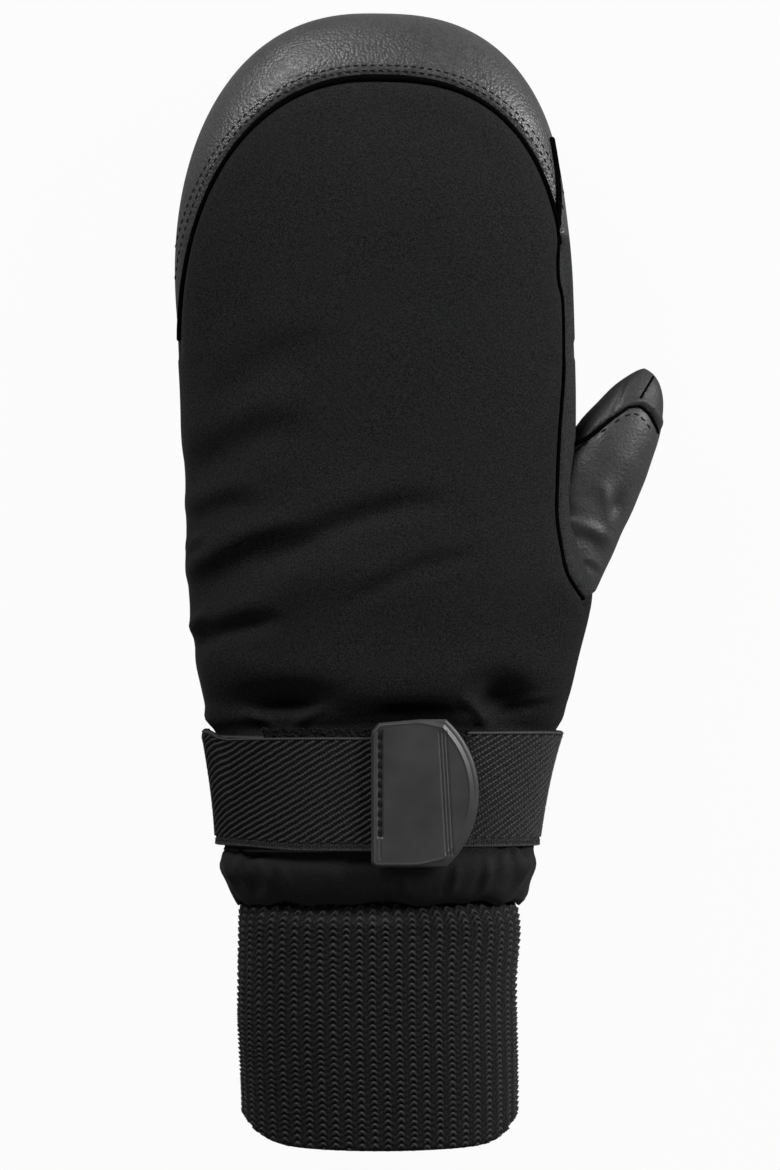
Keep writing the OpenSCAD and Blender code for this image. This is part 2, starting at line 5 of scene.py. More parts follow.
import bpy
import numpy as np
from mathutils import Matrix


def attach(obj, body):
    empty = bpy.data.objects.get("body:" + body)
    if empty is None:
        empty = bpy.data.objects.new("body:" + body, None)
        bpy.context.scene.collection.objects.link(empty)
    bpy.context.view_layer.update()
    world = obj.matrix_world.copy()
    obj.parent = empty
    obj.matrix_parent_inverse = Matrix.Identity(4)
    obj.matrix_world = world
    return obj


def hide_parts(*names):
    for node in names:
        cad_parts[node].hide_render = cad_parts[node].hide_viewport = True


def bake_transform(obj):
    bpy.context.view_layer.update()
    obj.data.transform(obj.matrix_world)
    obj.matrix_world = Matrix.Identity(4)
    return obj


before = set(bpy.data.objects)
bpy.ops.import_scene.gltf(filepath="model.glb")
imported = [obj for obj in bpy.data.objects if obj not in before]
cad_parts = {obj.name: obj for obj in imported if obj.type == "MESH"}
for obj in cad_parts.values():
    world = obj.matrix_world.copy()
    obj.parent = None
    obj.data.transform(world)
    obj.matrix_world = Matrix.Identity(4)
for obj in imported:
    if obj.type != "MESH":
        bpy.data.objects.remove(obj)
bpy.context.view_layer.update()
MM = 0.001
rng = np.random.default_rng(11)

# ------------------------------------------------------------------ camera, light and floor
CAM_HIGH = 2400.0
FRAME_HIGH = 327.6
FRAME_MID = (3.64, -0.7, 24.0)
camera_data = bpy.data.cameras.new("camera")
camera_data.sensor_width = 36
camera_data.lens = 36 * CAM_HIGH / FRAME_HIGH
camera_data.clip_start = 0.1
camera_data.clip_end = 20
camera = bpy.data.objects.new("camera", camera_data)
camera.location = (FRAME_MID[0] * MM, FRAME_MID[1] * MM, (FRAME_MID[2] + CAM_HIGH) * MM)
bpy.context.scene.collection.objects.link(camera)
bpy.context.scene.camera = camera
bpy.context.scene.view_settings.view_transform = "Standard"


def area_light(name, place, aim, size, power):
    data = bpy.data.lights.new(name, "AREA")
    data.shape = "RECTANGLE"
    data.size, data.size_y = size
    data.energy = power
    lamp = bpy.data.objects.new(name, data)
    lamp.location = place
    way = np.array(aim, float) - np.array(place, float)
    way /= np.linalg.norm(way)
    lamp.rotation_euler = (math.acos(-way[2]), 0, math.atan2(-way[0], way[1]))
    bpy.context.scene.collection.objects.link(lamp)


area_light("top", (-0.36, 0.66, 0.42), (0, 0.06, 0.03), (0.4, 0.22), 6.0)
area_light("right", (0.9, 0.46, 0.38), (0, 0, 0.02), (0.25, 0.6), 12.5)
area_light("low", (-0.2, -1.2, 0.9), (0, -0.05, 0.02), (0.9, 0.4), 2.6)

# ------------------------------------------------------------------ materials


class Nodes:
    """Short way to write a material's node tree"""

    def __init__(self, name, rough, **sockets):
        self.mat = bpy.data.materials.new(name)
        self.mat.use_nodes = True
        self.tree = self.mat.node_tree
        self.shader = self.tree.nodes["Principled BSDF"]
        self.set(self.shader, Roughness=rough, **{k.replace("_", " "): v for k, v in sockets.items()})

    def set(self, node, **values):
        for key, value in values.items():
            socket = node.inputs[key]
            if isinstance(value, bpy.types.NodeSocket):
                self.tree.links.new(value, socket)
            else:
                socket.default_value = value

    def add(self, kind, out=0, props=None, **values):
        node = self.tree.nodes.new("ShaderNode" + kind)
        for key, value in (props or {}).items():
            setattr(node, key, value)
        self.set(node, **values)
        return node.outputs[out]

    def place(self):
        return self.add("TexCoord", 3)

    def noise(self, vector, scale, detail=2.0, rough=0.5):
        return self.add("TexNoise", Vector=vector, Scale=scale, Detail=detail, Roughness=rough)

    def math(self, op, a, b=0.0, clamp=False):
        node = self.tree.nodes.new("ShaderNodeMath")
        node.operation, node.use_clamp = op, clamp
        for socket, value in zip(node.inputs, (a, b)):
            if isinstance(value, bpy.types.NodeSocket):
                self.tree.links.new(value, socket)
            else:
                socket.default_value = value
        return node.outputs[0]

    def remap(self, value, a, b, lo=0.0, hi=1.0):
        node = self.tree.nodes.new("ShaderNodeMapRange")
        for key, v in zip(("Value", "From Min", "From Max", "To Min", "To Max"), (value, a, b, lo, hi)):
            self.set(node, **{key: v})
        return node.outputs[0]

    def mix(self, share, a, b):
        node = self.tree.nodes.new("ShaderNodeMix")
        node.data_type = "RGBA"
        for k, v in ((0, share), (6, a), (7, b)):
            if isinstance(v, bpy.types.NodeSocket):
                self.tree.links.new(v, node.inputs[k])
            else:
                node.inputs[k].default_value = v
        return node.outputs[2]

    def bump(self, height, strength, distance, under=None):
        node = self.tree.nodes.new("ShaderNodeBump")
        self.set(node, Height=height, Strength=strength, Distance=distance * MM)
        if under is not None:
            self.set(node, Normal=under)
        return node.outputs[0]

    def end(self, colour, normal=None, rough=None):
        self.set(self.shader, **{"Base Color": colour})
        if normal is not None:
            self.set(self.shader, Normal=normal)
        if rough is not None:
            self.set(self.shader, Roughness=rough)
        return self.mat


def grey(v, warm=0.0):
    return (v * (1 + warm), v, v * (1 - warm), 1)


def softshell_material(name="softshell_cloth", light=0.95):
    n = Nodes(name, 0.8, Sheen_Weight=0.03, Sheen_Roughness=0.45, Specular_IOR_Level=0.08)
    p = n.place()
    weave = n.noise(p, 2100, 3, 0.75)
    lint = n.noise(p, 5200, 1, 0.5)
    cloud = n.noise(p, 60, 3, 0.5)
    tone = n.mix(n.remap(weave, 0.38, 0.62), grey(0.002 * light, -0.02), grey(0.02 * light, -0.02))
    tone = n.mix(n.remap(lint, 0.64, 0.8), tone, grey(0.05))
    tone = n.mix(n.remap(cloud, 0.3, 0.75, 0.0, 0.35), tone, grey(0.014 * light, -0.02))
    # painted light: the cloth of the gathered roll under the strap (object y below about -74 mm) is painted lighter,
    # standing in for light that the strap's shadow keeps off it
    along = n.add("SeparateXYZ", 1, Vector=p)
    tone = n.mix(n.remap(along, -0.0735, -0.0775, 0.0, 0.4), tone, grey(0.03 * light, -0.02))
    return n.end(tone, n.bump(weave, 0.55, 0.12))


def leather_material(name="leather", base=0.041, rough=0.4, depth=1.0):
    n = Nodes(name, rough, Specular_IOR_Level=0.5)
    p = n.place()
    warp = n.noise(p, 260, 2, 0.5)
    cells = n.add("TexVoronoi", 0, {"feature": "F1"}, Vector=p, Scale=1150.0, Randomness=0.95)
    fine = n.noise(p, 3000, 2, 0.5)
    broad = n.noise(p, 45, 3, 0.55)
    grain = n.math("ADD", n.math("MULTIPLY", cells, -0.8), n.math("MULTIPLY", fine, 0.35))
    tone = n.mix(n.remap(broad, 0.3, 0.7), grey(base * 0.8), grey(base * 1.18))
    tone = n.mix(n.remap(cells, 0.35, 0.75, 0.0, 0.45), tone, grey(base * 0.45))
    shine = n.remap(warp, 0.3, 0.7, rough - 0.05, rough + 0.1)
    return n.end(tone, n.bump(grain, depth, 0.2, n.bump(broad, 0.35, 1.2)), shine)


def rubber_material():
    n = Nodes("moulded_rubber", 0.46, Specular_IOR_Level=0.5)
    p = n.place()
    fine = n.noise(p, 1800, 2, 0.5)
    broad = n.noise(p, 90, 3, 0.6)
    tone = n.mix(n.remap(broad, 0.3, 0.7), grey(0.034), grey(0.043))
    return n.end(tone, n.bump(fine, 0.12, 0.08), n.remap(broad, 0.3, 0.7, 0.42, 0.54))


def yarn_material(name, low, high, rough=0.75, cross=2400, start=0.35):
    """Yarn painted by the mesh's rise attribute: a painted highlight on its crests and painted shade, near black, in
    the hollows between them
    """
    n = Nodes(name, rough, Sheen_Weight=0.04, Sheen_Roughness=0.4, Specular_IOR_Level=0.12)
    rise = n.add("Attribute", 2, {"attribute_name": "rise"})
    p = n.place()
    hair = n.noise(p, cross, 3, 0.65)
    tone = n.mix(n.remap(rise, start, 1.0), grey(low), grey(high))
    tone = n.mix(n.remap(hair, 0.35, 0.75), tone, n.mix(0.5, tone, grey(high * 1.5)))
    return n.end(tone, n.bump(hair, 0.5, 0.12))


def plain_cloth(name, low, high, scale, depth, rough=0.9, sheen=0.0, gloss=0.1):
    n = Nodes(name, rough, Sheen_Weight=sheen, Sheen_Roughness=0.5, Specular_IOR_Level=gloss)
    p = n.place()
    hair = n.noise(p, scale, 4, 0.65)
    cloud = n.noise(p, scale / 12, 2, 0.5)
    tone = n.mix(n.remap(hair, 0.3, 0.7), grey(low), grey(high))
    tone = n.mix(n.remap(cloud, 0.3, 0.7, 0.0, 0.3), tone, grey(high))
    return n.end(tone, n.bump(hair, 0.6, depth))


MATS = {
    "softshell": softshell_material(),
    "leather": leather_material(),
    "rubber": rubber_material(),
    # webbing and knit yarn: crests painted lighter and hollows painted near black by the rise attribute (painted
    # highlight and painted shade)
    "webbing": yarn_material("elastic_webbing", 0.0002, 0.06, start=0.54),
    "knit": yarn_material("rib_knit_yarn", 0.0002, 0.053, 0.8, 3200, 0.45),
    "loop": plain_cloth("loop_pile", 0.003, 0.02, 3800, 0.3),
    "hook": plain_cloth("hook_tape", 0.02, 0.03, 900, 0.05, 0.5, 0.0, 0.5),
    "thread": plain_cloth("sewing_thread", 0.006, 0.014, 4200, 0.08, 0.7),
    "insulation": plain_cloth("wadding", 0.62, 0.8, 500, 0.5),
    "membrane": plain_cloth("membrane_film", 0.42, 0.52, 300, 0.1, 0.45, 0.0, 0.5),
    "fleece": plain_cloth("brushed_fleece", 0.03, 0.075, 1500, 0.5, 0.95, 0.5),
}
THUMB_LEATHER = leather_material("thumb_leather", 0.034, 0.5, 0.5)
THUMB_DARK = leather_material("thumb_back_leather", 0.018, 0.55, 0.5)
# band webbing: the same yarn with stronger painted highlight on its cords and painted shade between them
BAND_CLOTH = yarn_material("band_webbing", 0.0002, 0.078, start=0.58)
# painted light: the side strip is the same softshell painted 2.1 times lighter, standing in for the light from the
# right that falls on it
SIDE_CLOTH_PAINTED_LIGHT = softshell_material("side_strip_cloth", 2.1)
# the rolled seams are black piping, painted darker still and without gloss: partly their own black, partly painted
# shade standing in for the shadow in the seam grooves
SEAM_ROLL_SHADED = plain_cloth("seam_roll", 0.001, 0.003, 3000, 0.1, 0.9, 0.0, 0.0)


# ------------------------------------------------------------------ mesh helpers


def make(name, points, faces, slot, rise=None, thick=0.0, smooth=True, mat=None):
    """Mesh object from points in mm. Thick gives an open surface a wall inwards, by a modifier that is applied."""
    mesh = bpy.data.meshes.new(name)
    points = np.asarray(points, float).reshape(-1, 3)
    faces = [tuple(int(v) for v in f) for f in faces]
    used = np.zeros(len(points), bool)
    used[np.fromiter((v for f in faces for v in f), int)] = True
    if not used.all():
        new_id = np.cumsum(used) - 1
        faces = [tuple(new_id[list(f)].tolist()) for f in faces]
    mesh.from_pydata((points[used] * MM).tolist(), [], faces)
    if rise is not None:
        attribute = mesh.attributes.new("rise", "FLOAT", "POINT")
        attribute.data.foreach_set("value", np.asarray(rise, np.float32).reshape(-1)[used])
    mesh.polygons.foreach_set("use_smooth", np.full(len(mesh.polygons), smooth))
    mesh.materials.append(mat or MATS[slot])
    mesh.update()
    if not thick and volume(mesh) < 0:
        mesh.flip_normals()
    ob = bpy.data.objects.new(name, mesh)
    bpy.context.scene.collection.objects.link(ob)
    if thick:
        grow = ob.modifiers.new("thickness", "SOLIDIFY")
        grow.thickness = thick * MM
        grow.offset = -1
        apply_modifiers(ob)
    return ob


def volume(mesh):
    """Signed volume within a closed mesh; negative where its faces look inwards"""
    mesh.calc_loop_triangles()
    points = np.empty(len(mesh.vertices) * 3)
    mesh.vertices.foreach_get("co", points)
    corners = np.empty(len(mesh.loop_triangles) * 3, int)
    mesh.loop_triangles.foreach_get("vertices", corners)
    a, b, c = points.reshape(-1, 3)[corners.reshape(-1, 3)].transpose(1, 0, 2)
    return float(np.einsum("ij,ij->", a, np.cross(b, c))) / 6


def apply_modifiers(ob):
    graph = bpy.context.evaluated_depsgraph_get()
    mesh = bpy.data.meshes.new_from_object(ob.evaluated_get(graph))
    old = ob.data
    ob.modifiers.clear()
    ob.data = mesh
    bpy.data.meshes.remove(old)


def grid_faces(rows, cols, closed=False, first=0):
    """Quads of a grid of rows by cols points; closed joins the last column to the first"""
    i, j = np.meshgrid(np.arange(rows - 1), np.arange(cols if closed else cols - 1), indexing="ij")
    i, j = i.ravel(), j.ravel()
    k = (j + 1) % cols
    return (first + np.stack([i * cols + j, i * cols + k, (i + 1) * cols + k, (i + 1) * cols + j], 1)).tolist()


def skirt(line, drop, way):
    """Quads from a line of points to the same line drop points on; way says which side they face"""
    return [[a, b, b + drop, a + drop] if way else [b, a, a + drop, b + drop] for a, b in zip(line[:-1], line[1:])]


def unit(v):
    return v / np.maximum(np.linalg.norm(v, axis=-1, keepdims=True), 1e-9)


def smooth_step(a, b, v):
    t = np.clip((v - a) / (b - a), 0, 1)
    return t * t * (3 - 2 * t)


def hill(v, width):
    return np.exp(-((v / width) ** 2))


def tube(name, path, radius, slot, sides=12, material=None):
    """Tube along points, with rounded ends"""
    path = np.asarray(path, float)
    radius = np.broadcast_to(np.asarray(radius, float), (len(path),)).copy()
    along = unit(np.gradient(path, axis=0))
    side = unit(np.cross(along, [0, 0, 1.0]))
    up = np.cross(side, along)
    ends = np.array([0.05, 0.55, 0.85])
    path = np.concatenate([path[:1] - along[:1] * radius[0] * np.sqrt(1 - ends[:, None] ** 2), path,
                           path[-1:] + along[-1:] * radius[-1] * np.sqrt(1 - ends[::-1, None] ** 2)])
    radius = np.concatenate([radius[0] * ends, radius, radius[-1] * ends[::-1]])
    side = np.concatenate([np.repeat(side[:1], 3, 0), side, np.repeat(side[-1:], 3, 0)])
    up = np.concatenate([np.repeat(up[:1], 3, 0), up, np.repeat(up[-1:], 3, 0)])
    a = np.arange(sides) * 2 * math.pi / sides
    rings = path[:, None] + radius[:, None, None] * (
        np.cos(a)[None, :, None] * side[:, None] + np.sin(a)[None, :, None] * up[:, None])
    faces = grid_faces(len(path), sides, True)
    last = (len(path) - 1) * sides
    faces += [list(range(sides))[::-1], [last + k for k in range(sides)]]
    faces = [f[::-1] for f in faces]
    return make(name, rings.reshape(-1, 3), faces, slot, mat=material)


def stitches(name, centres, along, up, length, radius, slot="thread", sides=8):
    """A row of stitches: a capsule at each centre, flattened a little against the cloth"""
    along, up = unit(np.asarray(along, float)), unit(np.asarray(up, float))
    side = unit(np.cross(along, up))
    up = np.cross(side, along)
    t = np.array([-1, -0.93, -0.72, -0.3, 0.3, 0.72, 0.93, 1.0])
    fat = np.array([0.12, 0.55, 0.9, 1, 1, 0.9, 0.55, 0.12])
    a = np.arange(sides) * 2 * math.pi / sides
    points, faces = [], []
    for c, u, s, w in zip(np.asarray(centres, float), along, side, up):
        base = len(points) * len(t) * sides
        bow = 0.35 * radius * (1 - t ** 2)
        ring = c + (t * length / 2)[:, None, None] * u + bow[:, None, None] * w + (radius * fat)[:, None, None] * (
            np.cos(a)[None, :, None] * s + 0.8 * np.sin(a)[None, :, None] * w)
        points.append(ring.reshape(-1, 3))
        last = base + (len(t) - 1) * sides
        faces += grid_faces(len(t), sides, True, base)
        faces += [[base + k for k in range(sides)][::-1], [last + k for k in range(sides)]]
    return make(name, np.concatenate(points), faces, slot)


# ------------------------------------------------------------------ the hand's surface
# W is a width, T a thickness, Y a place along the hand
KNUCKLE_W, HAND_T, KNUCKLE_Y, DOME = 111.0, 51.0, 80.0, 79.2
WRIST_TOP_W, WRIST_LOW_W, WRIST_T, ROLL_W, WRIST_LEN = 93.7, 84.4, 42.0, 88.4, 90.0
CUFF_W, CUFF_T, CUFF_LEN, CUFF_WALL = 77.6, 37.6, 69.0, 3.0
STRAP_Y, WEB_W = -57.5, 32.0
STRAP_TOP, STRAP_LOW = STRAP_Y + WEB_W / 2, STRAP_Y - WEB_W / 2
TUCK_LEN = 6.0  # of the cuff under the shell
ROLL_Y, LINER_Y = STRAP_LOW - 5, -WRIST_LEN + TUCK_LEN
REST_Z, MID_Z = 1.5, 24.0
SECTION, DOME_N, DOME_LEFT, DOME_SIDE = 2.3, 2.55, 2.38, 2.2
ROOT_Y = 5.0
BULGE, BULGE_Y = 7.0, ROOT_Y - 7
ROLL_IN = -81.0

# Plan: y, width, and how far the middle lies to the thumb's side
PLAN = np.array([
    [-WRIST_LEN, CUFF_W + 1.7, 0.3], [LINER_Y, (ROLL_W + CUFF_W) / 2 + 2, 0.2], [ROLL_Y, ROLL_W, 0.2],
    [STRAP_LOW, WRIST_LOW_W, 0.9], [STRAP_TOP, WRIST_TOP_W, 1.7], [STRAP_TOP + 6, WRIST_TOP_W + 4.5, 1.2],
    [-24, KNUCKLE_W - 9, 0.6], [10, KNUCKLE_W - 4, 0.8], [40, KNUCKLE_W - 1.7, 0.1], [KNUCKLE_Y, KNUCKLE_W, -1]])
# Side view: y, thickness
SIDE = np.array([
    [-WRIST_LEN, CUFF_T + 1.6], [LINER_Y, WRIST_T + 0.8], [ROLL_Y, WRIST_T + 2], [STRAP_LOW, WRIST_T],
    [STRAP_TOP, WRIST_T + 0.6], [STRAP_TOP + 6, HAND_T - 4.5], [-24, HAND_T - 2], [10, HAND_T],
    [KNUCKLE_Y, HAND_T - 1.5]])


def curve(rows, k, y):
    """Smooth curve through column k of rows, whose first column is y"""
    ys, v = rows[:, 0], rows[:, k]
    slope = np.zeros(len(v))
    slope[0] = (v[1] - v[0]) / (ys[1] - ys[0])
    slope[1:-1] = (v[2:] - v[:-2]) / (ys[2:] - ys[:-2])
    i = np.clip(np.searchsorted(ys, y, "right") - 1, 0, len(v) - 2)
    h = ys[i + 1] - ys[i]
    t = np.clip((y - ys[i]) / h, 0, 1)
    return (v[i] * (1 + 2 * t) * (1 - t) ** 2 + slope[i] * h * t * (1 - t) ** 2
            + v[i + 1] * t * t * (3 - 2 * t) + slope[i + 1] * h * t * t * (t - 1))


def power(v, e):
    """Power that keeps the sign"""
    return np.sign(v) * np.abs(v) ** e


def dome(u, length, n):
    """Share of the full width at u past the knuckles"""
    return np.where(u <= 0, 1.0, np.maximum(0, 1 - np.clip(u / length, 0, 1) ** n) ** (1 / n))


def bulge(y):
    """How far the hand widens at the thumb's root"""
    u = y - BULGE_Y
    return BULGE * np.exp(-(u / np.where(u > 0, 15, 27)) ** 2)


def left(y, d=0.0):
    """Half width on the little finger's side, slimmed to the worn outline"""
    slim = (0.9 * hill(y + 27, 6) - 1.7 * hill(y + 38.5, 2.6) + 0.4 * hill(y - 70, 15) - 1.1 * hill(y - 2, 20)
            - 0.3 * smooth_step(30, 80, y))
    return (curve(PLAN, 1, y) / 2 - curve(PLAN, 2, y) - slim - d) * dome(y - KNUCKLE_Y, DOME - d, DOME_LEFT)


def right(y, d=0.0):
    """Half width on the thumb's side"""
    slim = (1.4 * hill(y - 108, 24) + 0.8 * hill(y - 6, 7) - 0.8 * smooth_step(20, 45, y) - 0.7 * hill(y + 34, 12)
            - 0.6 * hill(y + 38.5, 2.6) - 1.2 * hill(y + 88, 3))
    return (curve(PLAN, 1, y) / 2 + curve(PLAN, 2, y) + bulge(y) - slim - d) * dome(y - KNUCKLE_Y, DOME - d, DOME_N)


def half_t(y, d=0.0):
    return (curve(SIDE, 1, y) / 2 - d) * dome(y - KNUCKLE_Y, DOME - d, DOME_SIDE)


def hand(y, turn, d=0.0):
    """Point of the hand's surface at y and turn (radians from the thumb side over the back), d below it"""
    y, turn = np.broadcast_arrays(np.asarray(y, float), np.asarray(turn, float))
    c, s = np.cos(turn), np.sin(turn)
    x = np.where(c > 0, right(y, d), left(y, d)) * power(c, 2 / SECTION)
    z = MID_Z + half_t(y, d) * power(s, 2 / SECTION)
    return np.stack([x, y, np.maximum(z, REST_Z + d)], -1)


def hand_normal(y, turn):
    y = np.minimum(y, KNUCKLE_Y + DOME - 0.4)
    e = 0.01
    across = hand(y, turn + e) - hand(y, turn - e)
    along = hand(y + 0.3, turn) - hand(y - 0.3, turn)
    return unit(np.cross(across, along) * -1)


def turn_at(x, y, d=0.0):
    """Turn on the back of the hand over the place x, y of the plan"""
    share = np.clip(np.abs(x) / np.where(x > 0, right(y, d), left(y, d)), 0, 1) ** (SECTION / 2)
    return np.where(x > 0, np.arccos(share), math.pi - np.arccos(share))


# ------------------------------------------------------------------ relief of the padded shell
FOLD_GAIN, PIT_GAIN = 1.7, 1.35
# Folds: start and end in the plan, height, reach above and below the crest; depth, distance and reach of the hollow
FOLDS = [
    (-51.0, 4.1, -24.4, 16.9, 1.3, 4.0, 2.2, 1.3, 6.0, 7.5),
    (-25.8, 14.1, 14.8, 27.3, 0.5, 7.0, 4.0, 1.1, 5.0, 5.2),
    (-52.9, 9.7, -48.7, 12.5, 0.6, 1.5, 1.5, 0.4, 2.0, 2.0),
    (-53.5, 20.9, -35.6, 26.7, 0.7, 4.5, 3.0, 0.9, 4.0, 5.5),
    (-54.0, 37.0, -24.4, 50.3, 0.8, 9.0, 5.0, 1.2, 6.5, 8.5),
    (-46.0, 58.0, -20.0, 74.0, 0.5, 9.0, 6.0, 0.7, 7.5, 9.0),
    (-51.5, -12.7, -46.8, -8.3, 0.8, 1.4, 1.6, 0.3, 2.0, 2.0),
    (-50.4, -12.7, -28.6, -6.9, 0.7, 4.0, 2.5, 1.2, 3.6, 3.9),
    (-49.6, -23.9, -32.2, -22.3, 0.5, 4.0, 6.0, 0.0, 5.0, 5.0),
    (-38.4, -6.9, 3.6, 4.1, 0.6, 5.5, 6.0, 0.0, 5.0, 5.0),
    (-4.8, -0.1, 26.0, 11.1, 0.3, 5.0, 3.0, 0.5, 3.5, 4.0),
    (25.2, -32.9, 31.4, -40.5, 1.3, 1.1, 1.2, 0.0, 3.0, 3.0),
    (32.2, -36.8, 50.1, -31.8, 0.6, 1.4, 1.0, 0.4, 1.6, 1.4),
    (-22.7, -39.6, -14.3, -35.1, 0.8, 1.2, 1.2, 0.0, 2.0, 2.0),
    (-37.5, -37.1, -29.1, -40.2, 0.7, 1.1, 1.1, 0.0, 2.0, 2.0),
]
# Pits: middle, half length, half height, depth, lean
PITS = [
    (-26.6, -33.7, 12.5, 5.0, 5.6, 0.03),
    (35.0, -32.9, 7.5, 6.0, 6.2, -0.1),
    (7.8, -37.2, 19.0, 3.6, 3.0, 0.04),
    (-33.0, -75.7, 2.8, 1.3, 1.1, 0.1),
    (-34.4, -85.5, 2.2, 2.8, 0.9, 0.0),
    (-26.9, -87.8, 2.4, 1.6, 0.6, 0.0),
    (35.0, -74.3, 1.0, 1.5, 1.1, 0.0),
    (39.2, -73.8, 1.2, 1.2, 0.9, 0.0),
]
# Pleats of the gathered roll under the strap: start and end, height
PLEATS = [
    (-43, -75, -40, -84, 1.3), (-40, -76, -35.5, -86, 1.2), (-37, -75, -38.5, -81, 1.0), (-33, -77, -29, -87, 0.8),
    (-26, -80, -24, -88, 0.7), (-12, -81, -11, -88, 0.5), (8, -82, 7, -88, 0.6), (22, -80, 20, -88, 0.7),
    (35.5, -74.5, 33.5, -80, 1.2), (38.5, -74.5, 39, -80, 1.1), (42, -76, 38, -86, 1.0), (31, -79, 29, -87, 0.8)]
waves = [(rng.uniform(0.05, 0.16), rng.uniform(0, 2 * math.pi), rng.uniform(0, 2 * math.pi), rng.uniform(0.5, 1))
         for _ in range(26)]


def fold_shape(x, y, x0, y0, x1, y1, height, above, below, hollow, off, wide):
    """Relief of one bowed fold that fades out past its ends"""
    dx, dy = x1 - x0, y1 - y0
    size = math.hypot(dx, dy)
    a = ((x - x0) * dx + (y - y0) * dy) / size ** 2
    c = ((y - y0) * dx - (x - x0) * dy) / size
    c = c - 0.05 * size * np.clip(1 - (2 * a - 1) ** 2, -1, 1)
    ends = smooth_step(-0.35, 0.15, a) * (1 - smooth_step(0.6, 1.25, a))
    crest = np.where(c > 0, hill(c, above), hill(c, below))
    return ends * (height * crest - hollow * hill(c + off, wide * 0.75))


def soft_relief(x, y):
    """Height of folds, pits, pleats and waves of the padded back over its plain surface"""
    h = np.zeros_like(x)
    for f in FOLDS:
        h = h + FOLD_GAIN * fold_shape(x, y, *f)
    for px, py, a, b, deep, lean in PITS:
        u, v = (x - px) / a, (y - py - lean * (x - px)) / b
        h = h - PIT_GAIN * deep * np.exp(-(u * u + v * v))
    for x0, y0, x1, y1, height in PLEATS:
        h = h + fold_shape(x, y, x0, y0, x1, y1, height, 1.1, 1.1, 0.5 * height, 2.0, 1.4)
    for k, way, phase, amp in waves:
        h = h + 0.07 * amp * np.sin(k * (x * math.cos(way) + y * math.sin(way)) + phase)
    # swell over the strap and the roll under it
    return h + 1.0 * hill(y + 28, 9) + 0.9 * hill(y + 79, 4.0)


# ------------------------------------------------------------------ seams in the plan
ARC_Y, ARC_X, ARC_W, ARC_LEN = KNUCKLE_Y - 12, -1.0, 54.5, 72.5
ARC_RIGHT, ARC_LEFT = 2.6, 2.15  # exponents of its two halves
STRIP_TOP, STRIP_LOW = KNUCKLE_Y + 16, ROOT_Y - 9.5
# Seam between the back and the side strip: y, x
SEAM = np.array([
    [-4.5, 57.9], [-2.1, 56.1], [2.9, 53.3], [11.9, 51.4], [18.9, 50.5], [28.7, 50.7], [42.7, 51.2], [63.7, 52.4],
    [78.8, 52.1], [84.1, 50.8], [90.9, 50.7], [96.2, 51.5]])
# The seam runs on over the cap: y, x
SEAM_ON_CAP = np.array([[97.3, 51.4], [114.8, 49.8], [123.6, 48.4]])


def arc_distance(x, y):
    """About the distance outside the seam arc of the fingertip cap"""
    n = np.where(x > ARC_X, ARC_RIGHT, ARC_LEFT)
    u, v = np.abs(x - ARC_X) / ARC_W, np.maximum(y - ARC_Y, 0) / ARC_LEN
    r = np.maximum((u ** n + v ** n) ** (1 / n), 1e-6)
    gu = (u / r) ** (n - 1) / ARC_W
    gv = (v / r) ** (n - 1) / ARC_LEN
    d = (r - 1) / np.sqrt(gu ** 2 + gv ** 2)
    return np.where(y < ARC_Y, np.minimum(d, -0.3 - 0.05 * (ARC_Y - y)), d)


def arc_at(a):
    """Point of the seam arc at the angle a"""
    c, s = np.cos(a), np.sin(a)
    n = np.where(c > 0, ARC_RIGHT, ARC_LEFT)
    return ARC_X + ARC_W * power(c, 2 / n), ARC_Y + ARC_LEN * power(s, 2 / n)


def seam_x(y):
    """Seam between the back and the side strip"""
    return curve(SEAM, 1, np.clip(y, SEAM[0, 0], SEAM[-1, 0]))


def strip_distance(x, y):
    """About the distance inside the side strip"""
    return np.where(y > STRIP_TOP, -9.0, np.minimum(x - seam_x(y), y - STRIP_LOW - 0.7 * np.maximum(x - SEAM[0, 1], 0)))


def snap(params, value):
    """Moves grid points that lie within half a cell of value = 0 onto it; gives the new grid and the signs"""
    best = np.full(value.shape, 9.0)
    target = params.copy()
    rows, cols = value.shape
    for di, dj in ((1, 0), (-1, 0), (0, 1), (0, -1)):
        i0, i1 = max(0, -di), rows - max(0, di)
        j0, j1 = max(0, -dj), cols - max(0, dj)
        here = (slice(i0, i1), slice(j0, j1))
        there = (slice(i0 + di, i1 + di), slice(j0 + dj, j1 + dj))
        a, b = value[here], value[there]
        cross = a * b < 0
        t = np.where(cross, a / np.where(cross, a - b, 1), 9)
        near = cross & (t <= 0.5) & (t < best[here])
        best[here] = np.where(near, t, best[here])
        step = t[..., None] * (params[there] - params[here])
        target[here] = np.where(near[..., None], params[here] + step, target[here])
    moved = best < 9
    return target, np.where(moved, 0, np.sign(value)).astype(int)


def split_faces(sign, cols_total, j_first=0):
    """Faces on the negative and on the positive side of a snapped grid"""
    low, high = [], []
    rows, cols = sign.shape
    for i in range(rows - 1):
        for j in range(cols - 1):
            q = [(i, j), (i, j + 1), (i + 1, j + 1), (i + 1, j)]
            s = [sign[p] for p in q]
            ids = [p[0] * cols_total + p[1] + j_first for p in q]
            if max(s) <= 0:
                low.append(ids)
            elif min(s) >= 0:
                high.append(ids)
            elif s[0] == 0 and s[2] == 0:
                (low if s[1] < 0 else high).append([ids[0], ids[1], ids[2]])
                (low if s[3] < 0 else high).append([ids[0], ids[2], ids[3]])
            else:
                (low if s[2] < 0 else high).append([ids[1], ids[2], ids[3]])
                (low if s[0] < 0 else high).append([ids[1], ids[3], ids[0]])
    return low, high


